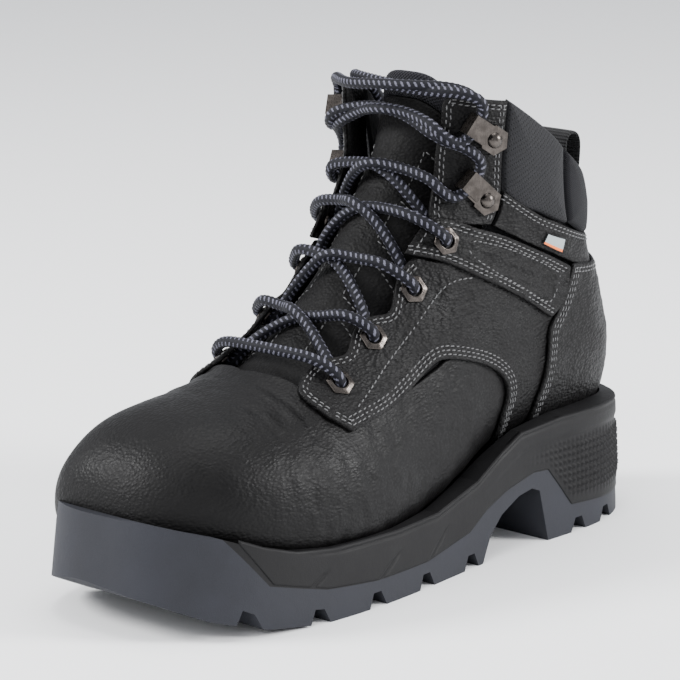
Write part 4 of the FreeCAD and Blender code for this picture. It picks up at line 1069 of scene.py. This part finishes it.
class BOOT_OT_tongue_stitching(PieceOperator, bpy.types.Operator):
    """Stitched windows on the tongue between the rows of lace."""

    bl_idname = "boot.tongue_stitching"
    bl_label = "Tongue stitching"

    def execute(self, context):
        frames = []
        windows = ((.400, .455), (.478, .535), (.560, .640), (.668, .760))
        for first, last in windows:
            s = np.linspace(0, 1, 60)
            for side in (1, -1):
                near, far = .30, .86
                across = lambda u, k: 1 + side * k * (1 - tongue_edge(u))
                u = first + (last - first) * s
                lines = (np.stack([u, across(u, far)], -1), np.stack([u, across(u, near)], -1),
                         np.stack([first + 0 * s, across(first, near + (far - near) * s)], -1),
                         np.stack([last + 0 * s, across(last, near + (far - near) * s)], -1))
                frames += [stitch_frames(line, tongue_depth(line[:, 0]) + .1, .4)
                           for line in lines]
        points, faces = stitch_mesh(frames)
        finish_piece("stitching_tongue", points, faces, finish("thread"),
                     body="tongue")
        return {"FINISHED"}


def seat_at(u, v, depth):
    """A frame on the last: origin, X towards the throat, Y along it, Z out."""
    side = 1.0 if v > 0 else -1.0
    origin = place(np.array(u), np.array(v), depth)
    z = place(np.array(u), np.array(v), depth + 1.0) - origin
    x = place(np.array(u), np.array(v + side * .02)) - place(np.array(u), np.array(v - side * .02))
    x -= z * np.dot(x, z)
    x /= np.linalg.norm(x)
    return origin, np.stack([x, np.cross(z, x), z])


class BOOT_OT_eyelets(PieceOperator, bpy.types.Operator):
    """Hexagonal eyelets: R(a) = f / (2 cos(a mod 60 - 30)) outside melts into a round,
    rolled lip, r = r0 + (R(a) - r0) k over the profile's shares k and heights z."""

    bl_idname = "boot.eyelets"
    bl_label = "Eyelets"

    def execute(self, context):
        flat, bore = 10.6, 6.3
        turn = np.linspace(0, 2 * np.pi, 96, endpoint=False)[None]
        hexagon = flat / 2 / np.cos(np.mod(turn, np.pi / 3) - np.pi / 6)
        hexagon = np.minimum(hexagon, flat / 2 * 1.115)
        # share from bore to hexagon, height over the leather
        profile = np.array(((.04, -2.6), (.00, -2.4), (.00, .95), (.04, 1.12), (.13, 1.22),
                            (.25, 1.20), (.36, 1.08), (.46, .96), (.88, .74), (.96, .66),
                            (1.0, .52), (1.0, .05), (.98, .0), (.30, .0), (.22, -.1),
                            (.20, -2.4), (.17, -2.6)))
        share, height = profile[:, :1], profile[:, 1:]
        radius = bore / 2 + (hexagon - bore / 2) * share
        for name, side in SIDES:
            blocks, quads = [], []
            for k, (u, v) in enumerate(EYELETS):
                high = k == len(EYELETS) - 1
                origin, basis = seat_at(u, v * side, (OVERLAY_OUT if high else QUARTER_OUT)
                                        + GAP / 2)
                local = np.stack([radius * np.cos(turn), radius * np.sin(turn),
                                  height + 0 * turn], -1)
                blocks.append((origin + local @ basis).reshape(-1, 3))
                rows, columns = radius.shape
                ids = np.arange(rows * columns).reshape(rows, columns) + k * rows * columns
                down, right = np.roll(ids, -1, 0), np.roll(ids, -1, 1)
                quads.append(np.stack([ids, down, np.roll(down, -1, 1), right],
                                      -1).reshape(-1, 4))
            piece = finish_piece("eyelet_rings_" + name, np.concatenate(blocks),
                                 [np.concatenate(quads)], finish("gunmetal"))
            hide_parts("eyelets_" + name)
        return {"FINISHED"}


# ---------------------------------------------------------------- lace
def lace_point(u, v, depth):
    return place(np.array(u), np.array(v), depth)


OVER = QUARTER_OUT + GAP / 2 + .7 + LACE / 2 + 2 * GAP
OVER_STRAP = OVERLAY_OUT + GAP / 2 + .7 + LACE / 2 + 2 * GAP
UNDER = QUARTER_IN - LACE / 2 - GAP
HOOK_BASE, HOOK_METAL, HOOK_PLATE = 11.0, 1.2, 9.0
HOOK_SEAT = QUARTER_OUT + 1.5 * GAP


def crossing(u_from, u_to, side, passes_over, low_start):
    """Over the tongue from one side to the other; u runs from one row to the next."""
    points = []
    for share, v, way in ((.22, .855, 1), (.38, .935, 1), (.50, 1.0, 1), (.64, .935, -1),
                          (.80, .865, -1)):
        u = u_from + (u_to - u_from) * share
        rest = max(float(tongue_depth(u)) + LACE / 2 + 1.0, -5.2)
        lift = {1.0: LACE + .8, .935: (LACE + .8) * .42}.get(v, 0) if passes_over else 0
        depth = rest + lift
        if share == .80:
            depth = OVER - .6
        if share == .22:
            depth = min(UNDER, rest + 1.4) if low_start else OVER - .2
        points.append(lace_point(u, v * side * way, depth))
    return points


def round_hook(k, side):
    """The lace's corners round the back of hook k, from its lower to its upper leg."""
    u, v = HOOKS[k]
    origin, basis = seat_at(u, v * side, HOOK_SEAT)
    rise = 1 if basis[1][2] > 0 else -1
    x = HOOK_BASE * .45 - HOOK_METAL - LACE / 2 - GAP
    z = HOOK_METAL + LACE / 2 + GAP
    leg = HOOK_PLATE / 2 + LACE
    spots = ((x + 10, -leg - 1.5, z), (x, -leg, z), (x, leg, z), (x + 10, leg + 1.5, z))
    return [origin + np.array((a, b * rise, c)) @ basis for a, b, c in spots]


def half_lace(side):
    """From the bar over the throat up to the top hook, for one half of the lace."""
    u, v = EYELETS[0]
    route = [lace_point(u - .020, .93 * side, 2.6),
             lace_point(u - .010, (v + .075) * side, OVER + .7)]
    for k, (u, v) in enumerate(EYELETS):
        top = k == len(EYELETS) - 1
        route.append(lace_point(u, v * side, OVER_STRAP if top else OVER))
        route.append(lace_point(u, v * side, UNDER - .4))
        route.append(lace_point(u + .012, (v + .045) * side, UNDER - .4))
        over = (side > 0) == (k % 2 == 0)
        if top:
            route += crossing(u, HOOKS[0][0] - .045, side, over, True)
        else:
            u_next, v_next = EYELETS[k + 1]
            route += crossing(u, u_next, side, over, True)
            last = k + 1 == len(EYELETS) - 1
            route.append(lace_point(u_next - .006, -(v_next + .045) * side,
                                    OVER_STRAP if last else OVER))
        side = -side
    route += round_hook(0, side)
    route += crossing(HOOKS[0][0] + .045, HOOKS[1][0] - .045, side, side < 0, False)
    route += round_hook(1, -side)
    return route, -side


def lace_tail(side, passes_over):
    """From the upper hook over the tongue and down inside the far side of the shaft."""
    front = 18.5 - (LACE + .6 if passes_over else 0)
    tops = SHAFT_HEIGHT
    spots = ((side * 18, front + 1.0, tops + 2.5), (0, front, tops + 4.2),
             (-side * 17, front + 3.0, tops + 4.8), (-side * 27.5, 29, tops + 4.0),
             (-side * 29.3, 42, tops - 1.0), (-side * 29.3, 51, tops - 14),
             (-side * 29.1, 57, tops - 28), (-side * 29.4, 61, tops - 42))
    return [np.array(spot) for spot in spots]


def smooth_route(points):
    """Points along the NURBS spline of order 3 that has the given control points."""
    data = bpy.data.curves.new("route", "CURVE")
    data.dimensions = "3D"
    data.resolution_u = 12
    line = data.splines.new("NURBS")
    line.points.add(len(points) - 1)
    flat = np.concatenate([np.array(points), np.ones((len(points), 1))], 1)
    line.points.foreach_set("co", flat.ravel())
    line.order_u = 3
    line.use_endpoint_u = True
    holder = bpy.data.objects.new("route", data)
    mesh = bpy.data.meshes.new_from_object(holder)
    path = np.array([vertex.co[:] for vertex in mesh.vertices])
    bpy.data.objects.remove(holder)
    bpy.data.curves.remove(data)
    bpy.data.meshes.remove(mesh)
    return path


def even_path(path, step):
    """The same line with points `step` apart, and its length so far at each."""
    run = np.linalg.norm(np.diff(path, axis=0), axis=1)
    walked = np.concatenate([[0], np.cumsum(run)])
    keep = np.concatenate([[True], run > 1e-6])
    spots = np.linspace(0, walked[-1], int(walked[-1] / step))
    parts = [np.interp(spots, walked[keep], path[keep][:, k]) for k in range(3)]
    return np.stack(parts, -1), spots


def path_frames(path):
    """Two unit vectors across a path that turn with it as little as they can."""
    run = np.gradient(path, axis=0)
    run /= np.linalg.norm(run, axis=1, keepdims=True)
    first = np.cross(run[0], (0.0, .3, 1.0))
    sides = [first / np.linalg.norm(first)]
    for way in run[1:]:
        across = sides[-1] - way * np.dot(sides[-1], way)
        sides.append(across / np.linalg.norm(across))
    sides = np.array(sides)
    return sides, np.cross(run, sides)


class BOOT_OT_lace(PieceOperator, bpy.types.Operator):
    """The lace: a tube of radius R - 0.14 + 0.26 |cos(3a + ks) cos(3a - ks)| mm,
    so that its yarns cross like a braid, with rows of light flecks that slant to either
    side by turns."""

    bl_idname = "boot.lace"
    bl_label = "Lace"

    def execute(self, context):
        right, right_end = half_lace(1)
        left, left_end = half_lace(-1)
        right += lace_tail(right_end, True)
        left += lace_tail(left_end, False)
        path, walked = even_path(smooth_route(left[::-1] + right), .5)
        a, b = path_frames(path)
        turn = np.linspace(0, 2 * np.pi, 32, endpoint=False)[None]
        s = walked[:, None]
        beat = 2 * np.pi / 5.2
        yarn = np.abs(np.cos(3 * turn + beat * s) * np.cos(3 * turn - beat * s))
        radius = context.scene.boot_sizes.lace / MM / 2 - .14 + .26 * yarn
        ring = (radius * np.cos(turn))[..., None] * a[:, None]
        ring = ring + (radius * np.sin(turn))[..., None] * b[:, None]
        points = (path[:, None] + ring).reshape(-1, 3)
        rows, columns = len(path), turn.shape[1]
        ids = np.arange(rows * columns).reshape(rows, columns)
        nxt = np.roll(ids, -1, 1)
        quads = np.stack([ids[:-1], nxt[:-1], nxt[1:], ids[1:]], -1).reshape(-1, 4)
        caps = np.stack([ids[0][::-1], ids[-1]])
        piece = finish_piece("lace_cord", points, [quads, caps], finish("lace"))
        row = turn / (np.pi / 2)
        beside = 2 * np.abs(row - np.floor(row) - .5)
        slant = np.where(np.floor(row) % 2 == 0, 1.4, -1.4) * (row - np.floor(row) - .5)
        wave = np.sin(2 * beat * s + slant * np.pi)
        fleck = ramp(wave, .1, .7) * (1 - ramp(beside, .35, .85))
        attribute = piece.data.attributes.new("fleck", "FLOAT", "POINT")
        attribute.data.foreach_set("value", (fleck + 0 * s).astype(np.float32).ravel())
        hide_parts("lace")
        return {"FINISHED"}


class BOOT_OT_pull_loop(PieceOperator, bpy.types.Operator):
    """Webbing pull loop and its tab: a flat rounded section carried round a closed bow."""

    bl_idname = "boot.pull_loop"
    bl_label = "Pull loop"

    def execute(self, context):
        lowest, highest = (np.array(corner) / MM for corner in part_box("pull_loop"))
        middle = (lowest + highest) / 2 + BOX_MIDDLE
        reach = (highest - lowest) / 2
        thick = context.scene.boot_sizes.webbing / MM
        turn = np.linspace(0, 2 * np.pi, 160, endpoint=False)[:, None]
        # a narrow bow: with c = cos(t)^0.62, y = w sin(t) (1 + 0.12 c) and z = h c
        lift = np.sign(np.cos(turn)) * np.abs(np.cos(turn)) ** .62
        y = (reach[1] - thick / 2) * np.sin(turn) * (1 + .12 * lift)
        z = (reach[2] - thick / 2) * lift
        bow = np.concatenate([y, z], 1)
        run = np.roll(bow, -1, 0) - np.roll(bow, 1, 0)
        run /= np.linalg.norm(run, axis=1, keepdims=True)
        out = np.stack([-run[:, 1], run[:, 0]], -1)
        corner = np.linspace(0, 2 * np.pi, 28, endpoint=False)
        half = reach[0]
        x = half * np.sign(np.cos(corner)) * np.abs(np.cos(corner)) ** .16
        t = thick / 2 * np.sign(np.sin(corner)) * np.abs(np.sin(corner)) ** .7
        points = np.zeros((160, 28, 3))
        points[..., 0] = middle[0] + x[None]
        points[..., 1] = middle[1] + bow[:, :1] + out[:, :1] * t[None]
        points[..., 2] = middle[2] + bow[:, 1:] + out[:, 1:] * t[None]
        ids = np.arange(160 * 28).reshape(160, 28)
        down = np.roll(ids, -1, 0)
        quads = np.stack([ids, down, np.roll(down, -1, 1), np.roll(ids, -1, 1)],
                         -1).reshape(-1, 4)
        walked = np.cumsum(np.linalg.norm(np.roll(bow, -1, 0) - bow, axis=1))
        uv = np.stack(np.broadcast_arrays(walked[:, None] / 10, x[None] / 10), -1)
        piece = finish_piece("pull_loop_webbing", points.reshape(-1, 3), [quads],
                             finish("webbing"), uv.reshape(-1, 2), "pull_loop")
        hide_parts("pull_loop")
        half_v = 12.0 / 96
        low = ((.928, half_v), (.928, 0), (.928, -half_v))
        high = ((.968, half_v), (.968, 0), (.968, -half_v))
        piece = panel("pull_tab_webbing", patch(low, high, 40, 24, rim=.8), PAD_OUT + .5,
                      PAD_OUT + .5 + thick, finish("webbing"), edge=.6)
        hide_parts("pull_loop_tab")
        return {"FINISHED"}


class BOOT_OT_label(PieceOperator, bpy.types.Operator):
    """Small woven label on the collar band."""

    bl_idname = "boot.label"
    bl_label = "Label"

    def execute(self, context):
        cells = patch(LABEL_LOW, LABEL_HIGH, 30, 20, rim=.4)
        piece = panel("label_woven", cells, QUARTER_OUT + .1, QUARTER_OUT + 1.0,
                      finish("label"), edge=.3, share_uv=True)
        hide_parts("label_tag")
        return {"FINISHED"}


# ---------------------------------------------------------------- sole
EDGE_OUTER = ((-149, 12, 5), (-139, 36, 5), (-122, 50, 5), (-98, 57.5, 5), (-72, 60, 5.5),
              (-45, 59.5, 5.5), (-18, 56.5, 4), (8, 52.5, 2.5), (36, 48.5, 1), (64, 46.5, .5),
              (92, 45.5, .5), (118, 41, 1), (138, 29.5, 3), (149, 14, 4.5))
EDGE_INNER = ((150, -12, 4.5), (139, -29.5, 3), (118, -41, 1), (92, -45, .5),
              (64, -44, .5), (36, -43.5, 1), (8, -46, 2.5), (-18, -49.5, 3.5),
              (-45, -53.5, 4), (-72, -55, 5), (-98, -52.5, 5), (-122, -45, 5), (-139, -35, 5),
              (-149, -17, 5))
LEAN_HEIGHT = 50.0
BLOCK_TOP = .4 * SHAFT_HEIGHT
BOUNDARY = ((-121, 40), (-104, 19.5), (-76, 13), (-47, 10.5), (-14, 10.5), (17, 15.5),
            (30, 22.5), (44, 27.5), (62, 31.5), (72, 31), (80, 22), (88, 12.5), (120, 10),
            (154, 8.5))
WALL_TOP = ((-121, 40), (-108, 35), (-93, 31), (-72, 28.7), (-33, 28), (-6, 29), (23, 36),
            (40, 45), (53, 51), (81, 53), (120, 52.5), (154, 50.5))
# grooves of the midsole's side: y, z of the lower and of the upper end
GROOVES = ((-88, 13.5, -75, 21), (-47, 10, -31, 20.5), (-14, 10, 2, 23.5))


def sole_outline(count):
    """Plan outline at the ground and at the block's top, and its outward direction."""
    points = np.array([(x, y) for y, x, lean in EDGE_OUTER + EDGE_INNER], float)
    lean = np.array([lean for y, x, lean in EDGE_OUTER + EDGE_INNER])[:, None]
    run = np.roll(points, -1, 0) - np.roll(points, 1, 0)
    inward = np.stack([-run[:, 1], run[:, 0]], -1)
    inward /= np.linalg.norm(inward, axis=1, keepdims=True)
    low = ring_spline(points, count)
    high = ring_spline(points + inward * lean / LEAN_HEIGHT * BLOCK_TOP, count)
    run = np.roll(low, -1, 0) - np.roll(low, 1, 0)
    outward = np.stack([run[:, 1], -run[:, 0]], -1)
    return low, high, outward / np.linalg.norm(outward, axis=1, keepdims=True)


def wall_relief(y, z, low, high):
    """How proud the midsole's side stands: a lip along its top, a soft band under it at
    the heel, studs on the heel's flank and three slanting grooves at the forefoot."""
    top = high - z
    proud = .45 + 0 * z
    proud = proud + .9 * ramp(y, 20, 70) * (1 - ramp(top, 7.0, 10.5))
    proud = proud - .55 * np.exp(-((top - 1.9) / .55) ** 2) * ramp(y, -90, -60)
    a, b = (y + z * 1.05) / 3.1, (y - z * 1.05) / 3.1
    stud = np.clip(np.cos(np.pi * a) * np.cos(np.pi * b), 0, 1) ** .75
    field = (ramp(y, 52, 96) * ramp(top, 9.5, 14) * ramp(z, 11.5, 21)
             * ramp(z - low, 1.5, 6.0))
    proud = proud + 1.5 * stud * field
    for y0, z0, y1, z1 in GROOVES:
        run = np.array((y1 - y0, z1 - z0))
        length = np.linalg.norm(run)
        along = ((y - y0) * run[0] + (z - z0) * run[1]) / length
        beside = ((y - y0) * run[1] - (z - z0) * run[0]) / length
        deep = .9 * (1 - ramp(along, length * .55, length)) * ramp(along, -6, -1)
        proud = proud - deep * np.exp(-(beside / .75) ** 2)
    return proud


class BOOT_OT_midsole(PieceOperator, bpy.types.Operator):
    """The midsole's moulded side, a skin that stands proud of the plain midsole:
    W(s, z) = low(s) + (high(s) - low(s)) z / H + outward(s) relief."""

    bl_idname = "boot.midsole"
    bl_label = "Midsole side"

    def execute(self, context):
        low, high, outward = sole_outline(1000)
        side = np.where(low[:, 1] > -119.5)[0]
        low, high, outward = low[side], high[side], outward[side]
        y = low[:, 1:]
        floor = np.interp(y, *np.array(BOUNDARY).T) + .15
        roof = np.interp(y, *np.array(WALL_TOP).T) - .1
        h = np.concatenate([[0, .008, .02], np.linspace(.035, .965, 46), [.98, .992, 1]])[None]
        z = floor + (roof - floor) * h
        share = (z / BLOCK_TOP)[..., None]
        wall = low[:, None] * (1 - share) + high[:, None] * share
        proud = wall_relief(y + 0 * z, z, floor, roof)
        rim = np.minimum(z - floor, roof - z)
        proud = proud - rounded(np.minimum(rim, 1.0), .9) * .9
        outer = np.concatenate([wall + outward[:, None] * proud[..., None], z[..., None]], -1)
        inner = np.concatenate([wall - outward[:, None] * 1.2, z[..., None]], -1)
        points, faces = shell(outer, inner)
        finish_piece("midsole_side", points, faces, finish("midsole foam"))
        return {"FINISHED"}


class BOOT_OT_frame_finishes(PieceOperator, bpy.types.Operator):
    """Materials for the frame's own pieces that stay in sight or inside the boot."""

    bl_idname = "boot.frame_finishes"
    bl_label = "Frame finishes"

    def execute(self, context):
        wanted = {
            "outsole": "outsole rubber", "midsole": "midsole foam",
            "insole_board": "board", "footbed": "footbed cloth", "steel_toe_cap": "steel",
            "toe_cap_edge_trim": "tip", "toe_lining": "lining", "quarter_lining": "lining",
            "heel_stiffener": "lining", "aglets": "tip", "lace_hooks_lateral": "gunmetal",
            "lace_hooks_medial": "gunmetal", "hook_rivets_lateral": "gunmetal",
            "hook_rivets_medial": "gunmetal",
        }
        for node, name in wanted.items():
            piece = frame["nodes"][node]
            for spot in piece.material_slots:
                spot.material = finish(name)
        return {"FINISHED"}


# ---------------------------------------------------------------- stage
CAMERA_TURN, CAMERA_RISE, CAMERA_AWAY = 43.60, 12.62, 1400.0
LOOK_AT = (-0.05, -11.04, 93.83)
LENS = 180.5


class BOOT_OT_stage(PieceOperator, bpy.types.Operator):
    """Pale floor, soft lights and the camera."""

    bl_idname = "boot.stage"
    bl_label = "Stage"

    def execute(self, context):
        turn, rise = math.radians(CAMERA_TURN), math.radians(CAMERA_RISE)
        back = Vector((math.sin(turn) * math.cos(rise), -math.cos(turn) * math.cos(rise),
                       math.sin(rise)))
        target = Vector(LOOK_AT) * MM
        camera_data = bpy.data.cameras.new("camera")
        camera_data.lens = LENS
        camera_data.sensor_width = 36
        camera = bpy.data.objects.new("camera", camera_data)
        camera.location = target + back * CAMERA_AWAY * MM
        camera.rotation_euler = back.to_track_quat("Z", "Y").to_euler()
        scene = context.scene
        scene.collection.objects.link(camera)
        scene.camera = camera
        self.floor(scene)
        lights = (
            ("right", (1.30, .85, .75), .6, 42.0), ("left", (-1.0, -1.2, 1.15), .7, 52.0),
            ("front", (.6, -1.5, .9), 1.0, 9.0), ("top", (0, .1, 1.7), 1.2, 20.0),
        )
        for name, spot, size, power in lights:
            data = bpy.data.lights.new(name, "AREA")
            data.shape = "DISK"
            data.size = size
            data.energy = power
            lamp = bpy.data.objects.new(name, data)
            lamp.location = spot
            lamp.rotation_euler = (Vector(spot) - Vector((0, 0, .08))).to_track_quat(
                "Z", "Y").to_euler()
            scene.collection.objects.link(lamp)
        world = bpy.data.worlds.new("studio")
        world.use_nodes = True
        background = world.node_tree.nodes["Background"]
        background.inputs["Color"].default_value = (.93, .95, 1.0, 1)
        background.inputs["Strength"].default_value = .95
        scene.world = world
        return {"FINISHED"}

    def floor(self, scene):
        """A wide, flat, pale floor that fills the background."""
        bench = Bench("floor", (.93, .935, .94), .9, specular=.1)
        reach = 12.0
        mesh = bpy.data.meshes.new("floor")
        mesh.from_pydata([(-reach, -reach, 0), (reach, -reach, 0), (reach, reach, 0),
                          (-reach, reach, 0)], [], [(0, 1, 2, 3)])
        floor = bpy.data.objects.new("floor", mesh)
        mesh.materials.append(bench.made)
        scene.collection.objects.link(floor)


class BOOT_PT_panel(bpy.types.Panel):
    """Sidebar panel with the boot's sizes, colours and pieces."""

    bl_idname = "BOOT_PT_panel"
    bl_label = "Work Boot"
    bl_space_type = "VIEW_3D"
    bl_region_type = "UI"
    bl_category = "Boot"

    def draw(self, context):
        layout = self.layout
        for group in (context.scene.boot_sizes, context.scene.boot_colours):
            box = layout.box()
            for name in group.bl_rna.properties.keys():
                if name not in ("rna_type", "name"):
                    box.prop(group, name)
        for operator in OPERATORS:
            layout.operator(operator.bl_idname)


OPERATORS = (
    BOOT_OT_stage, BOOT_OT_lace, BOOT_OT_frame_finishes, BOOT_OT_vamp, BOOT_OT_quarters,
    BOOT_OT_heel, BOOT_OT_hook_panels, BOOT_OT_collar, BOOT_OT_tongue, BOOT_OT_gussets,
    BOOT_OT_stitching, BOOT_OT_tongue_stitching, BOOT_OT_eyelets, BOOT_OT_pull_loop,
    BOOT_OT_label, BOOT_OT_midsole,
)
CLASSES = (BootSizes, BootColours) + OPERATORS + (BOOT_PT_panel,)


def register():
    for each in CLASSES:
        bpy.utils.register_class(each)
    bpy.types.Scene.boot_sizes = bpy.props.PointerProperty(type=BootSizes)
    bpy.types.Scene.boot_colours = bpy.props.PointerProperty(type=BootColours)


def unregister():
    del bpy.types.Scene.boot_colours
    del bpy.types.Scene.boot_sizes
    for each in reversed(CLASSES):
        bpy.utils.unregister_class(each)


def main():
    """Registers the add-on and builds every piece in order."""
    register()
    for operator in OPERATORS:
        group, name = operator.bl_idname.split(".")
        getattr(getattr(bpy.ops, group), name)()


if __name__ == "__main__":
    main()
